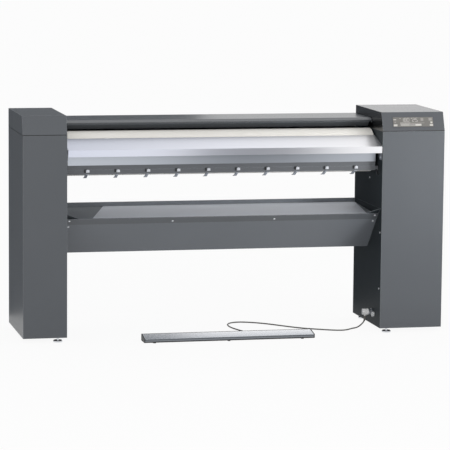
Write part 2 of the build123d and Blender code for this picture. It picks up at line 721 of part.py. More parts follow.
def flank(teeth, outer, thinner):
    """Right flank of one tooth, from root to tip, as (radius, angle from the tooth's middle)."""
    pitch = MODULE * teeth / 2
    base = pitch * math.cos(math.radians(20))
    root = pitch - 1.25 * MODULE

    def involute(r):
        a = math.acos(min(1.0, base / r))
        return math.tan(a) - a

    half = math.pi / (2 * teeth) - thinner / (2 * pitch) + involute(pitch)
    start = max(base, root)
    radii = [start + (outer - start) * i / 4 for i in range(5)]
    points = [(r, half - involute(r)) for r in radii]
    return ([(root, points[0][1])] if root < base else []) + points


def wheel_points(teeth, kept, middle, centre):
    """Station outline of some teeth of a wheel round the angle middle (radians)."""
    pitch = MODULE * teeth / 2
    right = flank(teeth, pitch + MODULE, BACKLASH)
    step = 2 * math.pi / teeth
    points = []
    for i in range(kept):
        at = middle + (i - (kept - 1) / 2) * step
        tooth = [(r, at - a) for r, a in right] + [(r, at + a) for r, a in right[::-1]]
        points += [(centre[0] + r * math.cos(a), centre[1] + r * math.sin(a)) for r, a in tooth]
    return points


def bed_sector():
    """Toothed sector on the right arm."""
    span = into(1, ARM_IN + ARM_T, ARM_IN + ARM_T + SECTOR_T)
    centre = (PIVOT_Y, PIVOT_Z)
    rim = wheel_points(SECTOR_TEETH, SECTOR_KEPT, -math.pi / 2, centre)
    web = [(PIVOT_Y + HUB_R * 0.8, PIVOT_Z - 8), (PIVOT_Y - HUB_R * 0.8, PIVOT_Z - 8)]
    body = prism(rim + web, *span) + rod(*span, *centre, HUB_R)
    body -= rod(*span, PIVOT_Y, PIVOT_Z - SECTOR_R * 0.6, HUB_R * 0.45)
    return body - rod(*span, *centre, PIN_R + FIT)


def bed_pinion():
    """Pinion with its shaft; a gap of its teeth faces the sector's middle tooth."""
    centre = (PIVOT_Y, PINION_Z)
    start = ARM_IN + ARM_T + SECTOR_T / 2 - PINION_T / 2
    rim = wheel_points(PINION_TEETH, PINION_TEETH, math.pi / 2, centre)
    gear = prism(rim, *into(1, start, start + PINION_T))
    return gear + rod(*into(1, start + PINION_T, start + PINION_T + 40), *centre, PINION_SHAFT_R)


def bed_motor():
    """Gear motor on a plate that stands off the side frame."""
    plate_in = ARM_IN + ARM_T + SECTOR_T / 2 + PINION_T / 2 + 8
    plate = block(*into(1, plate_in, plate_in + 5), PIVOT_Y - 108, PIVOT_Y + 108,
                  PINION_Z - 48, PINION_Z + 30)
    for dy, dz in ((-98, 20), (98, 20), (-98, -38), (98, -38)):
        plate += rod(*into(1, PLATE_OUT, plate_in), PIVOT_Y + dy, PINION_Z + dz, 7.0)
    case = block(*into(1, plate_in + 5, plate_in + 60), PIVOT_Y - 42, PIVOT_Y + 42,
                 PINION_Z - 44, PINION_Z + 36)
    case = fillet(case.edges().filter_by(Axis.X), 10.0)
    x = FACE[1] + plate_in + 33
    case += post(x, PIVOT_Y, PINION_Z - 190, PINION_Z - 44, 36.0)
    bore = rod(*into(1, plate_in, plate_in + 36), PIVOT_Y, PINION_Z, PINION_SHAFT_R + FIT)
    return plate + case - bore


# ---- laundry tray ------------------------------------------------------------------------
def floor_height(y):
    """Top of the tray's floor at a station."""
    share = (y - TRAY_LIP_Y) / (TRAY_RIM_Y - TRAY_LIP_Y)
    return TRAY_FRONT_FLOOR_Z + (TRAY_FLOOR_Z - TRAY_FRONT_FLOOR_Z) * share


def tray_floor():
    front = TRAY_LIP_Y + (TRAY_LIP_Z - TRAY_FRONT_FLOOR_Z) + 3 * TRAY_T
    line = [(front, floor_height(front)), (TRAY_RIM_Y - 4, floor_height(TRAY_RIM_Y - 4)),
            (TRAY_RIM_Y - 4, TRAY_RIM_Z), (TRAY_RIM_Y + 8, TRAY_RIM_Z)]
    return sheet(line, TRAY_T, *ends(TRAY_END))


def tray_slide_plate():
    """Bright plate on the tray's floor, its ends cut at a slant."""
    rear = TRAY_RIM_Y - 5
    front = TRAY_LIP_Y + (TRAY_LIP_Z - TRAY_FRONT_FLOOR_Z) + 4 * TRAY_T
    x0, x1 = ends(TRAY_END)
    band = [(front, floor_height(front)), (rear, floor_height(rear)),
            (rear, floor_height(rear) + SLIDE_T), (front, floor_height(front) + SLIDE_T)]
    corners = [(FACE[-1] + SLIDE_REAR_IN[0], rear), (FACE[1] - SLIDE_REAR_IN[1] - TRAY_END, rear),
               (FACE[1] - SLIDE_FRONT_IN[1], front), (FACE[-1] + SLIDE_FRONT_IN[0], front)]
    plan = make_face(Polyline(*[(x, FRONT + y, 0) for x, y in corners], close=True))
    return prism(band, x0, x1) & extrude(plan, amount=COLUMN_H)


def tray_front_panel():
    back = TRAY_LIP_Y + TRAY_DROP
    low = TRAY_LIP_Z - TRAY_DROP
    line = [(TRAY_LIP_Y + 14, TRAY_LIP_Z), (TRAY_LIP_Y, TRAY_LIP_Z), (back, low),
            (back + TRAY_BACK_TURN, low)]
    return sheet(line[::-1], TRAY_T, *ends(TRAY_END))


def tray_edge_strip():
    """Strip along the top of the front panel, its left end cut at a slant."""
    run = STRIP_W / math.sqrt(2)
    t = STRIP_T * math.sqrt(2)
    low = (TRAY_LIP_Y + run, TRAY_LIP_Z - run)
    outline = [(TRAY_LIP_Y, TRAY_LIP_Z), low, (low[0] - t / 2, low[1] - t / 2),
               (TRAY_LIP_Y - t / 2, TRAY_LIP_Z - t / 2)]
    return prism(outline, *ends(TRAY_END))


def tray_end_plates():
    """Plates on the inner panels, each with a small slanting facet in the front corner."""
    back = TRAY_LIP_Y + TRAY_DROP
    low = TRAY_LIP_Z - TRAY_DROP
    outline = [(18, TRAY_RIM_Z), (TRAY_RIM_Y + 8, TRAY_RIM_Z), (TRAY_RIM_Y + 8, TRAY_FLOOR_Z - 40),
               (LOWER_Y + 60, LOWER_Z - 60), (back + TRAY_BACK_TURN, low + 2), (back, low + 2),
               (TRAY_LIP_Y + 2, TRAY_LIP_Z)]
    plates = []
    for side in (-1, 1):
        span = into(side, -TRAY_T, 0)
        plate = prism(outline, *span) - beam_holes(*span)
        x0 = FACE[side] - side * TRAY_T / 2
        x1 = FACE[side] - side * GUSSET_IN
        low = (TRAY_LIP_Y + 6, TRAY_LIP_Z + 0.2)
        corners = [(x0, 19, TRAY_RIM_Z - GUSSET_T), (x0, *low), (x1, *low)]
        facet = make_face(Polyline(*[(x, FRONT + y, FOOT_H + z) for x, y, z in corners], close=True))
        plates.append(plate + extrude(facet, amount=GUSSET_T, dir=(0, 0, 1)))
    return group(plates)


def tray_screws():
    """Round heads on the edge strip and the front panel, square to the slope."""
    heads = []
    out = STRIP_T + 2.2
    for inboard, down in ((19, 12), (19, 56)):
        for side in (-1, 1):
            heads.append((FACE[side] - side * inboard, down))
    heads += [(FACE[-1] + MID_SCREW_IN, 24), (FACE[1] - MID_SCREW_IN, 24)]
    screws = []
    for x, down in heads:
        base = 0.0 if down > STRIP_W else STRIP_T
        k = 1 / math.sqrt(2)
        y = TRAY_LIP_Y + down * k - base * k
        z = TRAY_LIP_Z - down * k - base * k
        spot = Plane(origin=(x, FRONT + y, FOOT_H + z), z_dir=(0, -k, -k))
        screws.append(extrude(spot * Circle(SCREW_R), amount=out - base))
    return group(screws)


# ---- small parts on the columns ----------------------------------------------------------
def casing_screws():
    """Screws of the inner panels and of the left column's outer side."""
    screws = []
    for side in (-1, 1):
        for y, z, deep in ((27, ROLLER_Z - 21, -2), (214, ROLLER_Z - 137, 0),
                           (23, TRAY_RIM_Z - 117, 0), (25, 190, 0)):
            screws.append(rod(*into(side, deep - 2.4, deep), y, z, SCREW_R))
    return group(screws)


def cable_socket():
    """Metal socket on the right inner panel."""
    ring = rod(*into(1, -SOCKET_L, 0), SOCKET_Y, SOCKET_Z, SOCKET_R)
    return ring + rod(*into(1, -4, 0), SOCKET_Y, SOCKET_Z, SOCKET_R + 3)


def cable_plug():
    """Plug on the socket; the cable leaves it downwards."""
    body = rod(*into(1, -SOCKET_L - PLUG_L, -SOCKET_L), SOCKET_Y, SOCKET_Z, PLUG_R)
    x = FACE[1] - SOCKET_L - PLUG_L / 2
    return body + post(x, SOCKET_Y, SOCKET_Z - PLUG_R - 4, SOCKET_Z, CABLE_R + 3)


def panel_plugs():
    """Small gland and blank plug beside the socket."""
    gland = rod(*into(1, -9, 0), SOCKET_Y + 40, SOCKET_Z - 6, 6.0)
    blank = rod(*into(1, -9, 0), 108, SOCKET_Z - 8, 11.5)
    return group([gland, blank])


def control_unit():
    """Electronics box behind the right front panel."""
    return block(*into(1, RIGHT_W - 190, RIGHT_W - 30), SKIN, SKIN + 60,
                 ROLLER_Z - 205, ROLLER_Z + 15)


# ---- foot bar ----------------------------------------------------------------------------
def bar_point(back, up):
    """Station point of the foot bar: back from its front edge, up from the floor."""
    return back - BAR_AHEAD, up + BAR_FLOOR


def bar_ends():
    return MID - BAR_L / 2, MID + BAR_L / 2


def tread_line():
    return [bar_point(0, BAR_FRONT_Z - BAR_SKIRT), bar_point(1, BAR_FRONT_Z),
            bar_point(BAR_D - BAR_WALL - BAR_CLEAR, BAR_REAR_Z)]


def foot_bar_tread():
    """Sloping tread with an ear at each end for the hinge pins."""
    x0, x1 = bar_ends()
    inset = BAR_END_T + BAR_CLEAR
    tread = sheet(tread_line(), BAR_T, x0 + inset, x1 - inset)
    y, z = bar_point(*BAR_PIVOT)
    under = BAR_REAR_Z + BAR_FLOOR - BAR_T - 2
    for a, b in ((x0 + inset, x0 + inset + EAR_T), (x1 - inset - EAR_T, x1 - inset)):
        ear = rod(a, b, y, z, EAR_R) + block(a, b, y - EAR_R, y + EAR_R - 1, z, under + 1)
        tread += ear
        tread -= rod(a, b, y, z, BAR_PIN_R + FIT)
    return tread


def foot_bar_base():
    """Channel on the floor with the hinge edge for the tread."""
    x0, x1 = bar_ends()
    inset = BAR_T + BAR_CLEAR
    line = [bar_point(inset, BAR_FRONT_Z - BAR_SKIRT), bar_point(inset, PAD_H),
            bar_point(BAR_D, PAD_H), bar_point(BAR_D, BAR_REAR_Z + 1)]
    base = sheet(line[::-1], BAR_WALL, x0 + BAR_END_T, x1 - BAR_END_T)
    hole = stud(cable_route()[-1][0], BAR_D - BAR_WALL - BAR_AHEAD, BAR_D - BAR_AHEAD,
                CABLE_Z + BAR_FLOOR + 5, CABLE_R)
    return base - hole


def foot_bar_ends():
    """Plastic plates that close the bar, each with a moulded hinge pin."""
    line = [bar_point(3, PAD_H), bar_point(BAR_D, PAD_H), bar_point(BAR_D, BAR_REAR_Z + 1),
            bar_point(BAR_D - 4, BAR_REAR_Z + 1), bar_point(0, BAR_FRONT_Z + 1), bar_point(0, PAD_H + 5)]
    x0, x1 = bar_ends()
    y, z = bar_point(*BAR_PIVOT)
    deep = BAR_END_T + BAR_CLEAR + EAR_T
    left = prism(line, x0, x0 + BAR_END_T) + rod(x0 + BAR_END_T, x0 + deep, y, z, BAR_PIN_R)
    right = prism(line, x1 - BAR_END_T, x1) + rod(x1 - deep, x1 - BAR_END_T, y, z, BAR_PIN_R)
    return group([left, right])


def foot_bar_pads():
    pads = []
    for x in PAD_X:
        for back in (BAR_D * 0.13, BAR_D * 0.85):
            y, low = bar_point(back, 0)
            pads.append(post(MID + x, y, low, low + PAD_H, PAD_R))
    return group(pads)


def foot_bar_switches():
    """Two switches under the tread's front."""
    parts = []
    for x in (-BAR_L / 4, BAR_L / 4):
        y, low = bar_point(18, PAD_H + BAR_WALL)
        parts.append(block(MID + x - 14, MID + x + 14, y, y + 16, low, low + 8))
    return group(parts)


# ---- foot bar's cable --------------------------------------------------------------------
def cable_route():
    """Points from the plug to the bar's rear, x from the gap's middle, y and z at station."""
    floor = BAR_FLOOR + CABLE_Z
    air = [(726.5, SOCKET_Y, SOCKET_Z - PLUG_R - 4), (726.5, SOCKET_Y, 20), (713, 147, -1)]
    lying = [(688, 148), (657, 130), (630, 101), (598, 84), (556, 95), (512, 119), (467, 146), (427, 172),
             (388, 208), (350, 250), (311, 297), (275, 335), (236, 368), (194, 393), (152, 404),
             (114, 390), (89, 354), (81, 308), (83, 260), (93, 214), (107, 170), (121, 128), (132, 84),
             (139, 44)]
    points = air + [(x, y, floor) for x, y in lying]
    points += [(142, 12, floor + 2.0), (142, BAR_D - BAR_AHEAD, floor + 5.0)]
    return [(MID + x, FRONT + y, FOOT_H + z) for x, y, z in points]


def cable_radii(points):
    """Bend radius at each inner point, as large as its two runs allow."""
    radii = []
    for a, b, c in zip(points, points[1:], points[2:]):
        first = Vector(*b) - Vector(*a)
        second = Vector(*c) - Vector(*b)
        turn = math.radians(first.get_angle(second))
        radii.append(0.45 * min(first.length, second.length) / math.tan(turn / 2))
    return radii


def foot_cable():
    points = cable_route()
    radii = cable_radii(points)
    print("cable bend radii:", [round(r) for r in radii])
    path = FilletPolyline(*points, radius=radii)
    print("cable length:", round(path.length))
    start = Plane(origin=points[0], z_dir=path % 0)
    tube = sweep(start * Circle(CABLE_R), path=path)
    print("volume over section times length:", round(tube.volume / (math.pi * CABLE_R ** 2 * path.length), 5))
    return tube


def foot_bar_gland():
    """Gland on the bar's rear wall round the cable's end."""
    x, y, z = cable_route()[-1]
    return Pos(x, y + 6, z) * Rot(90, 0, 0) * (Cylinder(7.0, 12) - Cylinder(CABLE_R, 12))


# ---- write the parts ---------------------------------------------------------------------
for side, name in SIDE.items():
    save(f"{name}_side_frame", side_frame(side))
    save(f"{name}_inner_panel", inner_panel(side))
    save(f"{name}_front_panel", front_panel(side))
    save(f"{name}_cap", cap(side))

save("outer_panels", group([outer_panel(side) for side in SIDE]))
save("rear_panels", group([rear_panel(side) for side in SIDE]))
save("bed_arms", group([bed_arm(side) for side in SIDE]))
save("display_glass", display_glass())
save("control_unit", control_unit())
save("levelling_feet", levelling_feet())
save("rear_cross_beam", cross_beam(CROSS_Y, CROSS_Z, CROSS_TUBE))
save("tray_cross_beam", cross_beam(LOWER_Y, LOWER_Z, LOWER_H))
save("roller_bearings", group([roller_bearing(-1), roller_bearing(1)]))
save("roller_drum", roller_drum())
save("roller_padding", sleeve(DRUM_R, PAD_OUT_R))
save("roller_cloth", sleeve(PAD_OUT_R, CLOTH_R))
save("roller_pulley", roller_pulley())
save("drive_belt", drive_belt())
save("drive_motor", drive_motor())
save("motor_pulley", motor_pulley())
save("roller_cover", roller_cover())
save("cover_end_plates", cover_end_plates())
save("finger_guard", finger_guard())
save("guard_pins", guard_pins())
save("guard_switch", guard_switch())
save("feed_table", feed_table())
save("table_brackets", table_brackets())
save("bed_shoe", bed_shoe())
save("bed_heaters", bed_heaters())
save("bed_insulation", bed_insulation())
save("bed_casing", bed_casing())
save("bed_beam", bed_beam())
save("stripper_fingers", stripper_fingers())
save("stripper_bolts", stripper_bolts())
save("bed_pivot_pins", bed_pivot_pins())
save("bed_sector", bed_sector())
save("bed_pinion", bed_pinion())
save("bed_motor", bed_motor())
save("tray_floor", tray_floor())
save("tray_slide_plate", tray_slide_plate())
save("tray_front_panel", tray_front_panel())
save("tray_edge_strip", tray_edge_strip())
save("tray_end_plates", tray_end_plates())
save("tray_screws", tray_screws())
save("casing_screws", casing_screws())
save("cable_socket", cable_socket())
save("cable_plug", cable_plug())
save("panel_plugs", panel_plugs())
save("foot_bar_base", foot_bar_base())
save("foot_bar_tread", foot_bar_tread())
save("foot_bar_ends", foot_bar_ends())
save("foot_bar_pads", foot_bar_pads())
save("foot_bar_switches", foot_bar_switches())
save("foot_cable", foot_cable())
save("foot_bar_gland", foot_bar_gland())
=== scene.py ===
# %% [markdown]
# # A flatwork ironer
#
# The machine irons flat linen: a cloth-covered roller turns between two columns, and a heated
# bed swings against it. The construction is already done, at its real size, and comes in as a
# fixed frame. Here every surface gets its finish, the soft parts get their real form, and
# light and camera are set. One unit is one metre: X runs along the roller, Y to the back, Z up.

# %% Load the frame
import math
import json

import bpy
import numpy as np
from mathutils import Matrix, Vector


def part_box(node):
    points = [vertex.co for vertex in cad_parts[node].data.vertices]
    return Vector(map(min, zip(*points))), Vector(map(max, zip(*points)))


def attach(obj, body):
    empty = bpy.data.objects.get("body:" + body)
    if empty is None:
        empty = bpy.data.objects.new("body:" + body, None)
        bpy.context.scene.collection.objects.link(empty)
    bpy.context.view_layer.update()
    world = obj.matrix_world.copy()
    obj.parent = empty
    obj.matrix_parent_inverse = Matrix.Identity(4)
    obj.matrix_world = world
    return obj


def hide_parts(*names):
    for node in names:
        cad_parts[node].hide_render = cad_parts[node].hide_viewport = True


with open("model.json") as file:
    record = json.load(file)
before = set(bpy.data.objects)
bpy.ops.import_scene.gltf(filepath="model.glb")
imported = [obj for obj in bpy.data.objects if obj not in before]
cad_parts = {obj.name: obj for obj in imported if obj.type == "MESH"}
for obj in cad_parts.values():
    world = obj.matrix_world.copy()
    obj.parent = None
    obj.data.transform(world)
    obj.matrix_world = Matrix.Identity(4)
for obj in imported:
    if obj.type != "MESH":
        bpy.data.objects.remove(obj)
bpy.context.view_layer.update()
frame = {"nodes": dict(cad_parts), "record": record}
nodes = frame["nodes"]
MM = 0.001


# %% Helpers for objects
def placed(name, data):
    """A new object with the given data, linked to the scene."""
    piece = bpy.data.objects.new(name, data)
    bpy.context.scene.collection.objects.link(piece)
    return piece


def mesh_piece(name, points, faces, material):
    """A new object of one material, from its points and faces."""
    mesh = bpy.data.meshes.new(name)
    mesh.from_pydata(np.asarray(points).tolist(), [], np.asarray(faces).tolist())
    mesh.materials.append(material)
    return placed(name, mesh)


def facing(right, up, ahead, place):
    """The matrix of a camera or a lamp, which both look down their own -Z axis."""
    matrix = np.eye(4)
    matrix[:3, 0] = right
    matrix[:3, 1] = up
    matrix[:3, 2] = -ahead
    matrix[:3, 3] = place
    return Matrix(matrix.tolist())


# %% [markdown]
# ## The camera
#
# The machine was photographed with a long lens from the left and a little above. The camera's
# matrix is written from three directions that belong together: right, up and ahead. That is
# clearer than three angles, and it keeps the slight roll of half a degree.

# %% Camera
PICTURE = 450
FOCAL_PX = 2508.3
SENSOR_MM = 36.0
CAMERA_PLACE = (-2.6612, -11.6282, 2.0469)
RIGHT = np.array((0.97527078, -0.2208381, 0.00880038))
UP = np.array((0.01965487, 0.12632323, 0.9917944))
AHEAD = np.array((0.22013768, 0.96709512, -0.1275399))

camera_data = bpy.data.cameras.new("camera")
camera_data.sensor_width = SENSOR_MM
camera_data.lens = FOCAL_PX * SENSOR_MM / PICTURE
camera = placed("camera", camera_data)
camera.matrix_world = facing(RIGHT, UP, AHEAD, CAMERA_PLACE)
bpy.context.scene.camera = camera
print("lens", round(camera_data.lens, 2), "mm")

# %% [markdown]
# ## Helpers for finishes
#
# A finish is a small tree of nodes. One function adds a node, sets it and links it, and a few
# more take up what most finishes share, so each material below reads as a list of its layers.
# Colours are written as hex values, as a painter's chart has them, and turned to the linear
# values that the shader works in.

# %% Helpers for finishes
def linear(code):
    """A hex sRGB colour as linear RGBA: each channel through the sRGB curve, backwards."""
    channels = np.array([int(code[i:i + 2], 16) for i in (1, 3, 5)]) / 255
    curve = np.where(channels <= 0.04045, channels / 12.92, ((channels + 0.055) / 1.055) ** 2.4)
    return (*curve.tolist(), 1.0)


def per_mm(size):
    """Texture scale that makes one feature this many millimetres large."""
    return 1.0 / (size * MM)


def finish_of(name, color, rough, metallic=0.0, **shader):
    """A material with its Principled shader, ready for patterns."""
    mat = bpy.data.materials.new(name)
    mat.use_nodes = True
    principled = mat.node_tree.nodes["Principled BSDF"]
    principled.inputs["Base Color"].default_value = linear(color)
    principled.inputs["Roughness"].default_value = rough
    principled.inputs["Metallic"].default_value = metallic
    for key, value in shader.items():
        principled.inputs[key].default_value = value
    return mat, principled


def add(tree, kind, inputs=None, **settings):
    """Adds one node. inputs sets each socket, by name or number, to a value or links it."""
    node = tree.nodes.new(kind)
    for name, value in settings.items():
        setattr(node, name, value)
    for name, value in (inputs or {}).items():
        if isinstance(value, bpy.types.NodeSocket):
            tree.links.new(value, node.inputs[name])
        else:
            node.inputs[name].default_value = value
    return node


def blend(tree, share, first, second):
    """Mixes two colours. They are sockets 6 and 7 of a Mix node, and its output 2."""
    return add(tree, "ShaderNodeMix", {0: share, 6: first, 7: second}, data_type="RGBA").outputs[2]


def between(tree, share, first, second):
    """Mixes two numbers. They are sockets 2 and 3 of a Mix node, and its output 0."""
    return add(tree, "ShaderNodeMix", {0: share, 2: first, 3: second}).outputs[0]


def surface_place(tree, kind="Object"):
    """Where a point of the surface lies, for the patterns."""
    return add(tree, "ShaderNodeTexCoord").outputs[kind]


def noise(tree, where, size_mm, detail):
    """Cloudy noise of one feature size."""
    inputs = {"Vector": where, "Scale": per_mm(size_mm), "Detail": detail}
    return add(tree, "ShaderNodeTexNoise", inputs).outputs["Fac"]


def roughness_from(tree, shader, pattern, low, high):
    """Lets a pattern move the roughness between two values."""
    spread = add(tree, "ShaderNodeMapRange", {"Value": pattern, "To Min": low, "To Max": high})
    tree.links.new(spread.outputs["Result"], shader.inputs["Roughness"])


def relief_from(tree, shader, pattern, strength, deep_mm):
    """Turns a pattern into fine relief."""
    inputs = {"Height": pattern, "Strength": strength, "Distance": deep_mm * MM}
    relief = add(tree, "ShaderNodeBump", inputs)
    tree.links.new(relief.outputs["Normal"], shader.inputs["Normal"])


# %% [markdown]
# ## Powder-coated sheet steel
#
# The columns, caps, cover and tray are folded steel with a polyester powder coat. Powder melts
# into a skin with a slight orange peel, so it is satin, not glossy, and its tone wanders a
# little. The peel is about 2 mm across, which is finer than the picture shows, so it only
# softens the highlights. The cover and the right cap are glossier and still mirror the room.
# The inner side panels are nearly black and mirror almost nothing. Each outside fold gets a
# painted highlight: where the direction of a rounded edge differs from the flat one, the tone
# turns towards a light grey, as a thin line of light along the edge.

# %% Powder coat
CLOUD_MM = 300
PEEL_DEEP_MM = 0.2
ROUGH_BELOW = 0.05
ROUGH_ABOVE = 0.07
FOLD_HIGHLIGHT_WIDTH = 2.0 * MM
FOLD_HIGHLIGHT_TONE = "#a2a7ad"
FOLD_HIGHLIGHT_SHARE = 0.6
COSINE_FLAT = 0.998
COSINE_FOLD = 0.94


def powder_coat(name, dark, light, rough, peel_mm, bump, specular):
    """Two near tones in wide soft clouds, a fine peel in roughness and relief, and a painted highlight
    along the folds.
    """
    mat, shader = finish_of(name, dark, rough, **{"Specular IOR Level": specular})
    tree = mat.node_tree
    where = surface_place(tree)
    tone = blend(tree, noise(tree, where, CLOUD_MM, 2.0), linear(dark), linear(light))
    grain = noise(tree, where, peel_mm, 3.0)
    roughness_from(tree, shader, grain, rough - ROUGH_BELOW, rough + ROUGH_ABOVE)
    relief_from(tree, shader, grain, bump, PEEL_DEEP_MM)
    # Painted highlight: a light grey along every rounded fold, where the edge would catch the light.
    rounded = add(tree, "ShaderNodeBevel", {"Radius": FOLD_HIGHLIGHT_WIDTH}, samples=4).outputs["Normal"]
    flat = add(tree, "ShaderNodeNewGeometry").outputs["Normal"]
    same = add(tree, "ShaderNodeVectorMath", {0: rounded, 1: flat}, operation="DOT_PRODUCT")
    fold = add(tree, "ShaderNodeMapRange", {"Value": same.outputs["Value"], "From Min": COSINE_FLAT,
               "From Max": COSINE_FOLD, "To Min": 0.0, "To Max": FOLD_HIGHLIGHT_SHARE})
    fold_highlighted = blend(tree, fold.outputs["Result"], tone, linear(FOLD_HIGHLIGHT_TONE))
    tree.links.new(fold_highlighted, shader.inputs["Base Color"])
    return mat


casing_paint = powder_coat("polyester_powder_coat_grey", "#585c61", "#5d6166", 0.36, 2.0, 0.2, 0.45)
cover_paint = powder_coat("powder_coat_cover", "#4f5358", "#54585d", 0.28, 2.0, 0.03, 1.0)
right_cap_paint = powder_coat("powder_coat_right_cap", "#40444a", "#44484e", 0.22, 2.0, 0.04, 1.0)
panel_paint = powder_coat("polyester_powder_coat_light", "#70747a", "#757a80", 0.4, 2.0, 0.2, 0.35)
tray_paint = powder_coat("polyester_powder_coat_tray", "#7d8288", "#82878d", 0.4, 2.0, 0.2, 0.4)
nose_paint = powder_coat("powder_coat_guard", "#4a4e52", "#4f5357", 0.42, 2.0, 0.2, 0.25)
inner_paint = powder_coat("smooth_coat_near_black", "#2c3236", "#30363a", 0.5, 2.0, 0.1, 0.08)
frame_paint = powder_coat("primer_coat_dark", "#2b2c2e", "#303133", 0.6, 1.6, 0.35, 0.3)
motor_enamel = powder_coat("motor_enamel_grey", "#484c4f", "#505457", 0.45, 1.2, 0.4, 0.5)
beam_paint = powder_coat("powder_coat_beam", "#6a6d71", "#707377", 0.38, 2.0, 0.2, 0.3)

# %% [markdown]
# ## Bright metals
#
# Three kinds of metal show bare. The feed table and the bed's casing are anodised aluminium,
# drawn along the roller, so their fine lines stretch every reflection across them. The screws
# and shafts are zinc-plated steel, slightly blue and cloudy. The shoe is extruded aluminium
# with die lines. A metal has no colour of its own but that of its reflections, so the tone
# comes from the base colour and the light, and its lines from noise that is long one way.
# Small bright parts and the foot bar are only partly metallic here: they keep a pale tone of
# their own where they would mirror something dark.

# %% Bright metals
LINE_DEEP_MM = 0.1


def drawn_metal(name, color, rough, line_mm, length_mm, bump, metallic=1.0, vary=0.07):
    """Noise squeezed to line_mm across and length_mm along X, in roughness and relief."""
    mat, shader = finish_of(name, color, rough, metallic)
    tree = mat.node_tree
    scale = (per_mm(length_mm), per_mm(line_mm), per_mm(line_mm))
    stretched = add(tree, "ShaderNodeMapping", {"Vector": surface_place(tree), "Scale": scale})
    inputs = {"Vector": stretched.outputs["Vector"], "Scale": 1.0, "Detail": 4.0}
    lines = add(tree, "ShaderNodeTexNoise", inputs).outputs["Fac"]
    roughness_from(tree, shader, lines, rough - vary, rough + vary)
    relief_from(tree, shader, lines, bump, LINE_DEEP_MM)
    return mat


table_metal = drawn_metal("anodised_aluminium_bright", "#eeeef8", 0.3, 1.2, 90.0, 0.02, vary=0.02)
casing_metal = drawn_metal("anodised_aluminium_blue_grey", "#bcc1c9", 0.34, 1.2, 120.0, 0.06, vary=0.04)
shoe_metal = drawn_metal("extruded_aluminium", "#a9abb0", 0.38, 2.0, 400.0, 0.2)
slide_metal = drawn_metal("brushed_stainless_plate", "#e4e8f0", 0.6, 1.4, 120.0, 0.05,
                          metallic=0.25, vary=0.04)
screw_metal = drawn_metal("zinc_plated_screw", "#f0f2f6", 0.35, 3.0, 3.0, 0.03,
                          metallic=0.15, vary=0.03)
bolt_metal = drawn_metal("zinc_plated_bolt", "#e9ecf2", 0.4, 3.0, 3.0, 0.03,
                         metallic=0.2, vary=0.03)
finger_metal = drawn_metal("spring_steel_finger", "#c3c8d2", 0.45, 3.0, 9.0, 0.03,
                           metallic=0.4, vary=0.03)
tread_metal = drawn_metal("anodised_aluminium_tread", "#d4d6dc", 0.25, 1.4, 120.0, 0.02,
                          metallic=0.7, vary=0.03)
zinc = drawn_metal("zinc_plated_steel", "#b4b7bd", 0.32, 6.0, 9.0, 0.12)
chrome = drawn_metal("chromed_steel", "#d2d4d8", 0.14, 8.0, 8.0, 0.03)

# %% [markdown]
# ## Plastics, rubber and glass
#
# Moulded ABS has a fine spark-eroded grain and a soft sheen. Rubber is blacker and duller. The
# display is a smooth pane with a dull finish. Each differs mostly in roughness, so the grain's
# size and the roughness are the two values to choose.

# %% Plastics, rubber and display pane
GRAIN_DEEP_MM = 0.1


def moulded(name, color, rough, grain_mm, bump, ior):
    """A plain colour with a fine moulded grain in its relief."""
    mat, shader = finish_of(name, color, rough, IOR=ior)
    tree = mat.node_tree
    relief_from(tree, shader, noise(tree, surface_place(tree), grain_mm, 2.0), bump, GRAIN_DEEP_MM)
    return mat


black_abs = moulded("moulded_abs_black", "#1b1c1e", 0.5, 0.9, 0.5, 1.53)
pale_nylon = moulded("moulded_nylon_pale", "#f4f5f7", 0.4, 0.9, 0.3, 1.53)
grey_abs = moulded("moulded_abs_grey", "#9da1a6", 0.45, 0.9, 0.4, 1.53)
rubber = moulded("natural_rubber_black", "#161616", 0.68, 1.2, 0.6, 1.52)
lead_rubber = moulded("rubber_lead_grey", "#6a6865", 0.5, 1.2, 0.3, 1.52)
pane = moulded("display_pane_grey", "#74726f", 0.4, 6.0, 0.03, 1.3)
ink = moulded("display_marks_pale", "#c9c7c2", 0.5, 1.0, 0.05, 1.4)
dim_ink = moulded("display_marks_dim", "#979591", 0.5, 1.0, 0.05, 1.4)

# %% [markdown]
# ## Painted shade and light, and a second tone
#
# A folded part can carry a second tone where it turns another way. The surface's own direction
# tells the shader where: the right cap's face towards the roller is painted as dark as the panel
# under it, as painted shade, and so are the left ends of the foot bar and the fingers, which
# turn away from the light. A place can tell it too: the caps' lowest few millimetres are
# painted near-black as the shadow in the seam under them, and the plug's front is white. A row
# of tones goes down the foot bar, a painted highlight on top and painted shade on its skirt,
# and along the feed table, painted darker at its left end and brighter to the right.

# %% Second tones
FACES_LEFT = -0.9
LEANS_LEFT = -0.3
SHADOW_SEAM_HIGH = 2.8 * MM
PLUG_FRONT = 0.4


def toned_where(mat, axis, above, color, by="Normal"):
    """Keeps a finish's tone where its direction, or its place, is above a value along an axis."""
    tree = mat.node_tree
    looks = add(tree, "ShaderNodeNewGeometry").outputs[by]
    along_axis = add(tree, "ShaderNodeSeparateXYZ", {0: looks}).outputs[axis]
    turned = add(tree, "ShaderNodeMath", {0: along_axis, 1: above}, operation="GREATER_THAN")
    base = tree.nodes["Principled BSDF"].inputs["Base Color"]
    kept = base.links[0].from_socket if base.links else tuple(base.default_value)
    tree.links.new(blend(tree, turned.outputs[0], linear(color), kept), base)


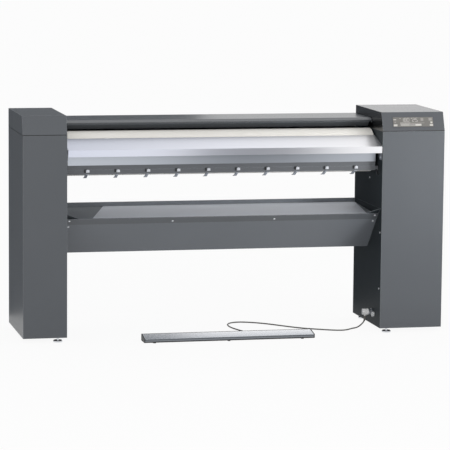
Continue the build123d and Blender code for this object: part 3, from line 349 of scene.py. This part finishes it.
def toned_along(mat, axis, first, last, stops):
    """Sets a finish's base colour by a row of tones between two places along an axis."""
    tree = mat.node_tree
    place = add(tree, "ShaderNodeSeparateXYZ", {0: surface_place(tree)}).outputs[axis]
    share = add(tree, "ShaderNodeMapRange", {"Value": place, "From Min": first, "From Max": last})
    ramp = add(tree, "ShaderNodeValToRGB", {"Fac": share.outputs["Result"]})
    for position, _ in stops[1:-1]:
        ramp.color_ramp.elements.new(position)
    for element, (position, color) in zip(ramp.color_ramp.elements, stops):
        element.position = position
        element.color = linear(color)
    tree.links.new(ramp.outputs["Color"], tree.nodes["Principled BSDF"].inputs["Base Color"])


left_cap_paint = casing_paint.copy()
left_cap_paint.name = "powder_coat_left_cap"
# Painted shade: the right cap's face towards the roller is near-black.
toned_where(right_cap_paint, "X", FACES_LEFT, "#0b0d0e")
# Painted shadow: the caps' lowest few millimetres are near-black, as the shadow in the seam under them.
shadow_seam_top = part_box("left_cap")[0][2] + SHADOW_SEAM_HIGH
for cap_paint in (left_cap_paint, right_cap_paint):
    toned_where(cap_paint, "Z", shadow_seam_top, "#17191b", by="Position")
# Painted light on the foot bar: lighter shading on its skirt, a dark band under the top's edge as painted
# shade, and a painted highlight up to white on top.
tread_low, tread_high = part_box("foot_bar_tread")
toned_along(tread_metal, "Z", tread_low[2], tread_high[2],
            [(0.0, "#8a8e94"), (0.3, "#6a6e73"), (0.42, "#43474b"), (0.5, "#cfd3da"),
             (0.95, "#f4f6fa"), (1.0, "#ffffff")])
# Painted shade: the foot bar's faces that turn to the left are near-black.
toned_where(tread_metal, "X", FACES_LEFT, "#141516")
# Painted light on the feed table: darker at its left end and brighter to the right, as the light falls
# along it.
table_low, table_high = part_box("feed_table")
toned_along(table_metal, "X", table_low[0], table_high[0],
            [(0.0, "#cdd1de"), (0.5, "#e9ebf4"), (1.0, "#fdfdff")])
plug_low, plug_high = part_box("cable_plug")
plug_split = plug_low[1] + PLUG_FRONT * (plug_high[1] - plug_low[1])
toned_where(grey_abs, "Y", plug_split, "#ffffff", by="Position")
# Painted shade: the fingers' faces that lean to the left are near-black.
toned_where(finger_metal, "X", LEANS_LEFT, "#1a1c1e")

# %% Give every CAD node its finish
FINISHES = {
    "casing_paint": casing_paint, "inner_paint": inner_paint, "frame_paint": frame_paint,
    "bright_sheet": table_metal, "cast_shoe": shoe_metal, "steel": zinc, "rubber": rubber,
    "plastic": black_abs, "pale_plastic": pale_nylon, "display": pane, "motor": motor_enamel,
}
SPECIAL = {
    "left_cap": left_cap_paint, "right_cap": right_cap_paint, "roller_cover": cover_paint,
    "finger_guard": nose_paint, "tray_front_panel": panel_paint, "tray_floor": tray_paint,
    "tray_slide_plate": slide_metal, "bed_casing": casing_metal, "bed_beam": beam_paint,
    "stripper_bolts": bolt_metal, "stripper_fingers": finger_metal, "levelling_feet": chrome,
    "tray_screws": screw_metal, "casing_screws": screw_metal, "foot_bar_tread": tread_metal,
    "cable_plug": grey_abs,
}
for part in frame["record"]["subparts"]:
    node = nodes[part["node"]]
    material = SPECIAL.get(part["node"], FINISHES.get(part["material_slot"]))
    if material:
        node.data.materials.clear()
        node.data.materials.append(material)

# %% [markdown]
# ## The foot bar's cable
#
# A round rubber lead runs from the plug on the right column to the foot bar. It is limp enough
# to lie in loose curves on the floor. A NURBS spline through listed control points, in
# millimetres, gives one smooth line, and the curve's round bevel gives it its thickness. The
# order is set after the points, because a spline that is made with too few points falls back
# to straight runs.

# %% Cable
CABLE_R = 3.25 * MM
CABLE_STEPS = 8
TUBE_ROUNDNESS = 5
FLOOR_CABLE = 3.6
ROUTE_AIR = [(676.5, -47, 63), (676.5, -47, 42), (663, -45, 21)]
ROUTE_FLOOR = [
    (638, -44), (607, -62), (580, -91), (548, -108), (506, -97), (462, -73), (417, -46), (377, -20),
    (338, 16), (300, 58), (261, 105), (225, 143), (186, 176), (144, 201), (102, 212), (64, 198),
    (39, 162), (31, 116), (33, 68), (43, 22), (57, -22), (71, -64), (82, -108), (89, -148),
]
ROUTE_BAR = [(92, -180, FLOOR_CABLE + 2.0), (92, -210, FLOOR_CABLE + 5.0)]
route = np.array(ROUTE_AIR + [(x, y, FLOOR_CABLE) for x, y in ROUTE_FLOOR] + ROUTE_BAR) * MM


def rubber_tube(label, name, points, radius, steps, taper=None):
    """A round rubber piece along a NURBS line; taper gives each point its share of the radius."""
    curve = bpy.data.curves.new(label, "CURVE")
    curve.dimensions = "3D"
    curve.bevel_depth = radius
    curve.bevel_resolution = TUBE_ROUNDNESS
    curve.resolution_u = steps
    curve.use_fill_caps = True
    spline = curve.splines.new("NURBS")
    spline.points.add(len(points) - 1)
    spline.points.foreach_set("co", np.c_[points, np.ones(len(points))].ravel())
    spline.points.foreach_set("radius", taper or (1.0,) * len(points))
    spline.order_u = 3
    spline.use_endpoint_u = True
    tube = placed(name, curve)
    curve.materials.append(lead_rubber)
    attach(tube, "stand")
    return tube


cable = rubber_tube("cable", "foot_bar_lead", route, CABLE_R, CABLE_STEPS)
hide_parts("foot_cable")

# %% [markdown]
# Where the lead leaves its plug, a tapered rubber sleeve keeps it from bending sharply. It
# follows the lead's first stretch exactly: that stretch is a parabola with three control
# points, and one cut off a parabola has three more, each found by going the same share along.

# %% Sleeve at the plug
SLEEVE_SHARE = 0.85
SLEEVE_R = 6.0 * MM
SLEEVE_STEPS = 12
SLEEVE_TAPER = (1.0, 0.85, 0.64)
start, bend = route[0], route[1]
middle = (route[1] + route[2]) / 2
near = start + SLEEVE_SHARE * (bend - start)
far = bend + SLEEVE_SHARE * (middle - bend)
sleeve_points = np.array((start, near, near + SLEEVE_SHARE * (far - near)))
sleeve = rubber_tube("sleeve", "lead_sleeve", sleeve_points, SLEEVE_R, SLEEVE_STEPS, SLEEVE_TAPER)
sleeve_runs = np.linalg.norm(np.diff(sleeve_points, axis=0), axis=1)
print("sleeve length mm", round(float(sleeve_runs.sum()) / MM, 1))

# %% [markdown]
# ## The display's marks
#
# The touch display shows two plain numbers, a few keys and a row of bars, all generic. The
# marks are flat patches just in front of the pane. The pane's own corners say where it is and
# how it leans, and each patch is given as shares of the pane's width and height. A number is
# drawn as on a pocket calculator, from seven strokes that are on or off.

# %% Display marks
MARK_PROUD = 0.25 * MM
STROKE_WIDE = 0.009
STROKE_HIGH = 0.036
SLANT = 0.15
DIGIT_WIDE = 0.048
DIGIT_HIGH = 0.36
DIGIT_FOOT = 0.52
DIGIT_PITCH = 1.5
SEGMENTS = {"top": (0, 1, 1, 1), "upper_left": (0, 0.5, 0, 1), "upper_right": (1, 0.5, 1, 1),
            "middle": (0, 0.5, 1, 0.5), "lower_left": (0, 0, 0, 0.5), "lower_right": (1, 0, 1, 0.5),
            "bottom": (0, 0, 1, 0)}
DIGITS = {"1": ("upper_right", "lower_right"),
          "8": tuple(SEGMENTS),
          "0": tuple(name for name in SEGMENTS if name != "middle"),
          "2": ("top", "upper_right", "middle", "lower_left", "bottom"),
          "5": ("top", "upper_left", "middle", "lower_right", "bottom")}
BRIGHT_PATCHES = [(0.01, 0.70, 0.08, 0.80), (0.01, 0.06, 0.10, 0.26), (0.17, 0.36, 0.42, 0.42),
                  (0.18, 0.24, 0.70, 0.29), (0.18, 0.08, 0.70, 0.12), (0.55, 0.12, 0.70, 0.24),
                  (0.91, 0.06, 0.99, 0.24), (0.93, 0.34, 0.98, 0.52), (0.17, 0.84, 0.19, 0.91),
                  (0.45, 0.84, 0.47, 0.91)]
DIM_PATCHES = [(0.03, 0.42, 0.07, 0.54), (0.69, 0.60, 0.76, 0.90), (0.89, 0.62, 0.97, 0.90),
               (0.42, 0.36, 0.78, 0.41), (0.18, 0.12, 0.40, 0.24)]
pane_low, pane_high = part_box("display_glass")
pane_points = np.array([vertex.co for vertex in nodes["display_glass"].data.vertices])
pane_foot = pane_points[pane_points[:, 1].argmin()]
pane_head = pane_points[pane_points[:, 2].argmax()]
lean = np.array((0.0, pane_head[1] - pane_foot[1], pane_head[2] - pane_foot[2]))
outward = np.array((0.0, -lean[2], lean[1])) / np.linalg.norm(lean)


def on_pane(share_x, share_up):
    """A point just in front of the pane, from shares of its width and height."""
    x = pane_low[0] + share_x * (pane_high[0] - pane_low[0])
    return np.array((x, pane_foot[1], pane_foot[2])) + share_up * lean + MARK_PROUD * outward


def patch(x0, y0, x1, y1):
    """Four corners of an upright patch."""
    return [on_pane(x0, y0), on_pane(x1, y0), on_pane(x1, y1), on_pane(x0, y1)]


def number(text, x):
    """Seven-stroke digits side by side, leaning a little."""
    strokes = []
    for place, digit in enumerate(text):
        left = x + place * DIGIT_WIDE * DIGIT_PITCH
        for name in DIGITS[digit]:
            u0, v0, u1, v1 = SEGMENTS[name]
            x0 = left + DIGIT_WIDE * (u0 + SLANT * v0)
            x1 = left + DIGIT_WIDE * (u1 + SLANT * v1)
            y0 = DIGIT_FOOT + DIGIT_HIGH * v0
            y1 = DIGIT_FOOT + DIGIT_HIGH * v1
            wide, high = (0.0, STROKE_HIGH) if v0 == v1 else (STROKE_WIDE, 0.0)
            strokes.append([on_pane(x0, y0), on_pane(x1, y1),
                            on_pane(x1 + wide, y1 + high), on_pane(x0 + wide, y0 + high)])
    return strokes


def flat_marks(name, quads, material):
    """All patches of one tone as one mesh on the display."""
    faces = np.arange(4 * len(quads)).reshape(-1, 4)
    piece = mesh_piece(name, np.array(quads).reshape(-1, 3), faces, material)
    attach(piece, "stand")


numbers = number("180", 0.20) + number("25", 0.48)
flat_marks("display_marks_bright", numbers + [patch(*p) for p in BRIGHT_PATCHES], ink)
flat_marks("display_marks_dim", [patch(*p) for p in DIM_PATCHES], dim_ink)
print("display marks", len(numbers) + len(BRIGHT_PATCHES) + len(DIM_PATCHES))

# %% [markdown]
# ## Painted shade beside the bolts
#
# A small black block sits against the left side of each of the ten bolts on the beam, as painted
# shade where the bolt's head shadows the beam. The bolts are one mesh, so their places come from
# the gaps between its points along X. A block is a box with all its edges rounded. It starts
# inside the beam's face, reaches in under the bolt's head, and stands half as proud as that head.

# %% Painted shade blocks beside the bolts
SHADE_BLOCK_WIDE = 8.0 * MM
SHADE_BLOCK_UNDER_HEAD = 1.0 * MM
SHADE_BLOCK_SUNK = 0.5 * MM
SHADE_BLOCK_ROUND = 0.8 * MM
GAP_BETWEEN = 20.0 * MM
BOX_CORNERS = np.array([(i, j, k) for i in (0, 1) for j in (0, 1) for k in (0, 1)])
BOX_SIDES = np.array([(0, 1, 3, 2), (4, 6, 7, 5), (0, 4, 5, 1), (2, 3, 7, 6), (0, 2, 6, 4), (1, 5, 7, 3)])
bolt_points = np.array([vertex.co for vertex in nodes["stripper_bolts"].data.vertices])
bolt_points = bolt_points[bolt_points[:, 0].argsort()]
cuts = np.flatnonzero(np.diff(bolt_points[:, 0]) > GAP_BETWEEN) + 1
shade_block_points, shade_block_faces = [], []
beam_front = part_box("bed_beam")[0][1]
for bolt in np.split(bolt_points, cuts):
    head = bolt[bolt[:, 1] < beam_front + SHADE_BLOCK_SUNK]
    head_low, head_high = head.min(axis=0), head.max(axis=0)
    left = head_low[0] - SHADE_BLOCK_WIDE
    low = np.array((left, head_low[1] / 2 + beam_front / 2, head_low[2]))
    high = np.array((left + SHADE_BLOCK_WIDE + SHADE_BLOCK_UNDER_HEAD, beam_front + SHADE_BLOCK_SUNK, head_high[2]))
    shade_block_faces.append(BOX_SIDES + 8 * len(shade_block_points))
    shade_block_points.append(low + BOX_CORNERS * (high - low))
# Painted shade: black blocks left of each bolt head, where its shadow falls on the beam.
bolt_shade_blocks = mesh_piece("bolt_painted_shade_blocks", np.concatenate(shade_block_points), np.concatenate(shade_block_faces), black_abs)
shade_block_edges = bolt_shade_blocks.modifiers.new("rounding", "BEVEL")
shade_block_edges.width = SHADE_BLOCK_ROUND
shade_block_edges.segments = 2
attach(bolt_shade_blocks, "bed")
print("bolt_shade_blocks", len(shade_block_points))

# %% [markdown]
# ## The roller's cloth and felt
#
# The steel drum is padded with a needled felt, and a woven cotton cloth is drawn tight over it.
# The cloth goes once round and laps over itself behind the roller, where linen never meets the
# edge, and a drawcord turns it in over the felt's ends in small gathers. Each is a grid of
# points: one direction goes round the axis, the other along it. The weave needs to know how
# far each point is along and round, in metres, so the cloth carries that as its UV map.

# %% Finishes of cloth and felt
THREAD_MM = 1.1
THREAD_DEEP_MM = 0.3
SHADE_MM = 70
WAVE_PER_TURN = 20.0


def woven(name, dark, light, thread_mm):
    """A checker says which thread lies on top, and a wave gives that thread its round back."""
    mat, shader = finish_of(name, light, 0.85, **{"Sheen Weight": 0.25, "Specular IOR Level": 0.2})
    tree = mat.node_tree
    where = surface_place(tree, "UV")
    wave = 2 * math.pi / WAVE_PER_TURN * per_mm(thread_mm)
    warp = add(tree, "ShaderNodeTexWave", {"Vector": where, "Scale": wave}, bands_direction="X")
    weft = add(tree, "ShaderNodeTexWave", {"Vector": where, "Scale": wave}, bands_direction="Y")
    over = add(tree, "ShaderNodeTexChecker", {"Vector": where, "Scale": per_mm(thread_mm)})
    height = between(tree, over.outputs["Fac"], warp.outputs["Fac"], weft.outputs["Fac"])
    relief_from(tree, shader, height, 0.5, THREAD_DEEP_MM)
    tone = blend(tree, noise(tree, where, SHADE_MM, 4.0), linear(dark), linear(light))
    tree.links.new(tone, shader.inputs["Base Color"])
    return mat


cotton = woven("woven_cotton_white", "#f1eee7", "#fbf9f4", THREAD_MM)
felt = moulded("needled_felt_cream", "#cfc8b6", 0.95, 2.2, 1.0, 1.4)

# %% Forms round the roller's axis
PAD_BELOW = 2.5 * MM
roller_low, roller_high = (np.array(point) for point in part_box("roller_cloth"))
AXIS = (roller_low + roller_high) / 2
ROLLER_R = (roller_high[2] - roller_low[2]) / 2
PAD_R = ROLLER_R - PAD_BELOW


def grid_piece(name, points, material, body, closed):
    """Rows and columns of points as a smooth piece; closed joins the last row to the first."""
    rows, columns = points.shape[:2]
    last = rows if closed else rows - 1
    row, column = np.meshgrid(np.arange(last), np.arange(columns - 1), indexing="ij")
    here = (row * columns + column).ravel()
    after = ((row + 1) % rows * columns + column).ravel()
    faces = np.c_[here, here + 1, after + 1, after]
    piece = mesh_piece(name, points.reshape(-1, 3), faces, material)
    piece.data.shade_smooth()
    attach(piece, body)
    return piece


def round_axis(angle, x, radius):
    """Points at an angle round the roller's axis, from straight to the back and upwards."""
    y = AXIS[1] + radius * np.cos(angle)
    z = AXIS[2] + radius * np.sin(angle)
    return np.stack(np.broadcast_arrays(x, y, z), -1)


# %% [markdown]
# The cloth goes once round and a little more, and steps up by a little over its own thickness
# where it laps. Towards each end a short profile turns it in, and a sine along that profile
# makes the gathers.

# %% Cloth
CLOTH_THICK = 0.9 * MM
CLOTH_OFF_FELT = 0.6 * MM
TURN_STEPS = 150
MIDDLE_STEPS = 40
LAP_TURNS = 0.06
LAP_LIFT = 1.3 * CLOTH_THICK
LAP_BACK = math.radians(-60)
END_ZONE = 0.03
END_X = np.array([1.3, 0.9, 0.9, 1.8, 5.0]) * MM
END_SHARE = np.array([1.0, 0.66, 0.33, 0.08, 0.0])
TURN_IN = 9.0 * MM
GATHERS = 48
GATHER_DEEP = 0.35 * MM

angle = np.linspace(0, 2 * np.pi * (1 + LAP_TURNS), TURN_STEPS)[:, None]
lapped = np.clip((angle - 2 * np.pi * (1 - LAP_TURNS)) / (2 * np.pi * LAP_TURNS), 0, 1)
middle_x = np.linspace(roller_low[0] + END_ZONE, roller_high[0] - END_ZONE, MIDDLE_STEPS)
along = np.concatenate([roller_low[0] + END_X, middle_x, (roller_high[0] - END_X)[::-1]])[None, :]
turned_in = np.concatenate([END_SHARE, np.zeros(MIDDLE_STEPS), END_SHARE[::-1]])[None, :]
gather = GATHER_DEEP * np.sin(GATHERS * angle) * turned_in
radius = PAD_R + CLOTH_OFF_FELT + LAP_LIFT * lapped - TURN_IN * turned_in
cloth_points = round_axis(angle + LAP_BACK, along + gather * np.sign(along), radius)
cloth = grid_piece("roller_cotton", cloth_points, cotton, "roller", False)

round_m = PAD_R * angle
steps_m = np.linalg.norm(np.diff(cloth_points[0], axis=0), axis=1)
along_m = np.concatenate([[0], np.cumsum(steps_m)])[None, :]
metres = np.stack(np.broadcast_arrays(along_m, round_m), -1).reshape(-1, 2)
uv = cloth.data.uv_layers.new(name="metres")
loop_points = np.empty(len(cloth.data.loops), dtype=np.int32)
cloth.data.loops.foreach_get("vertex_index", loop_points)
uv.data.foreach_set("uv", metres[loop_points].ravel())
wall = cloth.modifiers.new("thickness", "SOLIDIFY")
wall.thickness = CLOTH_THICK
wall.offset = 0.0

# %% [markdown]
# A felt is a rounded section carried round the axis, a little uneven. Low powers of sine and
# cosine square the section: nearly sharp at its ends, softer along its edges. The roller's
# felt closes into a ring. The bed's insulating blanket is open, and thins to a line at both
# ends.

# %% Felts
SQUARE_ENDS = 0.08
SQUARE_EDGES = 0.35
SECTION_POINTS = 49
SWEEP_STEPS = 120
CLOSE_RATE = 240
UNEVEN = 0.03
WAVES_ROUND = 9
WAVES_SECTION = 5
FELT_SHORT = 2.5 * MM
PAD_THICK = 9.5 * MM
BLANKET_THICK = 6 * MM
BLANKET_ANGLES = (168.0, 210.0)


def felt_form(name, body, ends_x, radii, angles, node):
    """A rounded box section of two half widths, swept round the axis; no angles make a ring."""
    ring = angles is None
    first, last = (0.0, 2 * np.pi) if ring else np.radians(angles)
    sweep_angle = np.linspace(first, last, SWEEP_STEPS, endpoint=not ring)[:, None]
    loop = np.linspace(0, 2 * np.pi, SECTION_POINTS)[None, :]
    flat_x = np.sign(np.cos(loop)) * np.abs(np.cos(loop)) ** SQUARE_ENDS
    flat_r = np.sign(np.sin(loop)) * np.abs(np.sin(loop)) ** SQUARE_EDGES
    ends = CLOSE_RATE * (sweep_angle - first) * (last - sweep_angle)
    close = 1.0 if ring else np.clip(ends, 0, 1) ** 0.5
    uneven = 1 - UNEVEN * (1 + np.sin(WAVES_ROUND * sweep_angle) * np.cos(WAVES_SECTION * loop))
    x = np.mean(ends_x) + np.ptp(ends_x) / 2 * flat_x + 0 * sweep_angle
    r = np.mean(radii) + np.ptp(radii) / 2 * flat_r * close * uneven
    form = grid_piece(name, round_axis(sweep_angle, x, r), felt, body, ring)
    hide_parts(node)
    return form


pad_x = (roller_low[0] + FELT_SHORT, roller_high[0] - FELT_SHORT)
pad = felt_form("roller_felt", "roller", pad_x, (PAD_R - PAD_THICK, PAD_R), None, "roller_padding")
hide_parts("roller_cloth")
blanket_low, blanket_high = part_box("bed_insulation")
BLANKET_R = AXIS[1] - blanket_low[1]
felt_form("bed_blanket", "bed", (blanket_low[0], blanket_high[0]),
          (BLANKET_R - BLANKET_THICK, BLANKET_R), BLANKET_ANGLES, "bed_insulation")
print("cloth", round(float(along_m[0, -1]), 3), "by", round(float(round_m[-1, 0]), 3), "m")

# %% [markdown]
# ## Floor and room
#
# The machine stands in a plain white studio. A wide matte floor takes its shadow, and what
# the camera, mirrors and clear parts see of floor and room is plain white, so the picture
# stays clean without more light on the machine. For diffuse light the room is darker on the
# left than on the right, which turns the columns' sides away from the light.

# %% Floor
ROOM_WHITE = 1.0
FLOOR_SHOWN = 0.93
FLOOR_HALF = 40.0


def seen_directly(tree):
    """1 where the camera, a mirror or a clear part looks, 0 for light that scatters."""
    path = add(tree, "ShaderNodeLightPath").outputs
    rays = {0: path["Is Camera Ray"], 1: path["Is Glossy Ray"]}
    either = add(tree, "ShaderNodeMath", rays, operation="MAXIMUM").outputs[0]
    rays = {0: either, 1: path["Is Transmission Ray"]}
    return add(tree, "ShaderNodeMath", rays, operation="MAXIMUM").outputs[0]


floor_mat, floor_shader = finish_of("matte_floor_white", "#e6e6e6", 0.9)
tree = floor_mat.node_tree
shown = add(tree, "ShaderNodeMath", {0: seen_directly(tree), 1: FLOOR_SHOWN}, operation="MULTIPLY")
glow = add(tree, "ShaderNodeEmission", {"Strength": ROOM_WHITE})
layers = {0: shown.outputs[0], 1: floor_shader.outputs[0], 2: glow.outputs[0]}
mixed = add(tree, "ShaderNodeMixShader", layers)
tree.links.new(mixed.outputs[0], tree.nodes["Material Output"].inputs["Surface"])
floor_points = [(-FLOOR_HALF, -FLOOR_HALF, 0), (FLOOR_HALF, -FLOOR_HALF, 0),
                (FLOOR_HALF, FLOOR_HALF, 0), (-FLOOR_HALF, FLOOR_HALF, 0)]
mesh_piece("floor", floor_points, [(0, 1, 2, 3)], floor_mat)

# %% Room
DARK_SIDE = 0.2
BRIGHT_SIDE = 0.8
OVERHEAD = 0.85
SIDE_FROM, SIDE_TO = -0.7, 0.6
RISE_FROM, RISE_TO = 0.2, 0.9
world = bpy.data.worlds.new("white_room")
bpy.context.scene.world = world
world.use_nodes = True
tree = world.node_tree
parts = add(tree, "ShaderNodeSeparateXYZ", {0: surface_place(tree, "Generated")}).outputs
sides = add(tree, "ShaderNodeMapRange", {"Value": parts["X"], "From Min": SIDE_FROM, "From Max": SIDE_TO,
            "To Min": DARK_SIDE, "To Max": BRIGHT_SIDE}, interpolation_type="SMOOTHSTEP")
room = add(tree, "ShaderNodeMapRange", {"Value": parts["Z"], "From Min": RISE_FROM, "From Max": RISE_TO,
           "To Min": sides.outputs["Result"], "To Max": OVERHEAD}, interpolation_type="SMOOTHSTEP")
level = between(tree, seen_directly(tree), room.outputs["Result"], ROOM_WHITE)
background = tree.nodes["Background"]
background.inputs["Color"].default_value = (1.0, 1.0, 1.0, 1.0)
tree.links.new(level, background.inputs["Strength"])
print("room dark side", DARK_SIDE, "bright side", BRIGHT_SIDE)

# %% [markdown]
# ## A sweep and a card for the reflections
#
# A photographer sets up something darker where a reflection should not be white. A grey sweep
# lies behind the machine and reaches far out to its left, and only mirrors see it: the
# columns' left sides and the left part of the tops stay deep, and the right part of the tops
# catches the white room. Its profile runs along the floor and bends up in a quarter circle,
# and is carried along X. A card of the same grey stands in front, off the middle, so the
# casing's drawn sheet turns darker there and lighter to both ends.

# %% Sweep and card
SWEEP_X = (-14.0, 0.95)
SWEEP_Y = (0.6, 5.0)
SWEEP_TOP = 4.0
SWEEP_BEND = 1.0
BEND_POINTS = 9
SWEEP_LIFT = 0.004
CARD_X = (0.05, 0.75)
CARD_Y = -1.5
CARD_Z = (0.25, 1.1)
sweep_grey = finish_of("dark_cotton_sweep", "#7a7e84", 1.0)[0]


def only_in_mirrors(piece):
    """Stage for reflections: the camera and scattered light pass through it."""
    piece.visible_camera = False
    piece.visible_diffuse = False
    piece.visible_shadow = False
    piece.visible_transmission = False


turn = np.linspace(0.0, np.pi / 2, BEND_POINTS)
bend_y = SWEEP_Y[1] - SWEEP_BEND + SWEEP_BEND * np.sin(turn)
bend_z = SWEEP_BEND - SWEEP_BEND * np.cos(turn)
profile = np.c_[np.r_[SWEEP_Y[0], bend_y, SWEEP_Y[1]], np.r_[0.0, bend_z, SWEEP_TOP] + SWEEP_LIFT]
rows = len(profile)
sweep_points = np.concatenate([np.c_[np.full(rows, x), profile] for x in SWEEP_X])
first_row = np.arange(rows - 1)
sweep_faces = np.c_[first_row, first_row + rows, first_row + rows + 1, first_row + 1]
only_in_mirrors(mesh_piece("dark_sweep", sweep_points, sweep_faces, sweep_grey))
card_points = [(CARD_X[0], CARD_Y, CARD_Z[0]), (CARD_X[1], CARD_Y, CARD_Z[0]),
               (CARD_X[1], CARD_Y, CARD_Z[1]), (CARD_X[0], CARD_Y, CARD_Z[1])]
only_in_mirrors(mesh_piece("black_card", card_points, [(0, 1, 2, 3)], sweep_grey))
print("sweep rows", rows)

# %% [markdown]
# ## Lamps
#
# Two rectangular lamps with soft edges: a wide one in front, and a nearer one on the right.
# The right one has a narrow spread, so it brightens the top of the right column and fades down
# it, and mirrors don't show it.

# %% Lamps
def soft_lamp(name, place, target, width, height, watts, spread=180.0, mirrored=True):
    """A rectangular lamp that faces a point; a smaller spread in degrees keeps its light narrow."""
    data = bpy.data.lights.new(name, "AREA")
    data.shape = "RECTANGLE"
    data.size = width
    data.size_y = height
    data.energy = watts
    data.spread = math.radians(spread)
    lamp = placed(name, data)
    ahead = np.array(target, float) - np.array(place, float)
    ahead /= np.linalg.norm(ahead)
    side = np.cross(ahead, (0.0, 0.0, 1.0))
    side /= np.linalg.norm(side)
    lamp.matrix_world = facing(side, np.cross(side, ahead), ahead, place)
    lamp.visible_glossy = mirrored


soft_lamp("lamp_front", (-0.5, -5.0, 2.4), (0.0, 0.0, 0.7), 3.0, 2.0, 40)
soft_lamp("lamp_right", (1.9, -2.1, 0.95), (1.0, -0.19, 0.8), 0.7, 0.5, 2.4, spread=50.0, mirrored=False)
bpy.context.scene.view_settings.view_transform = "Standard"
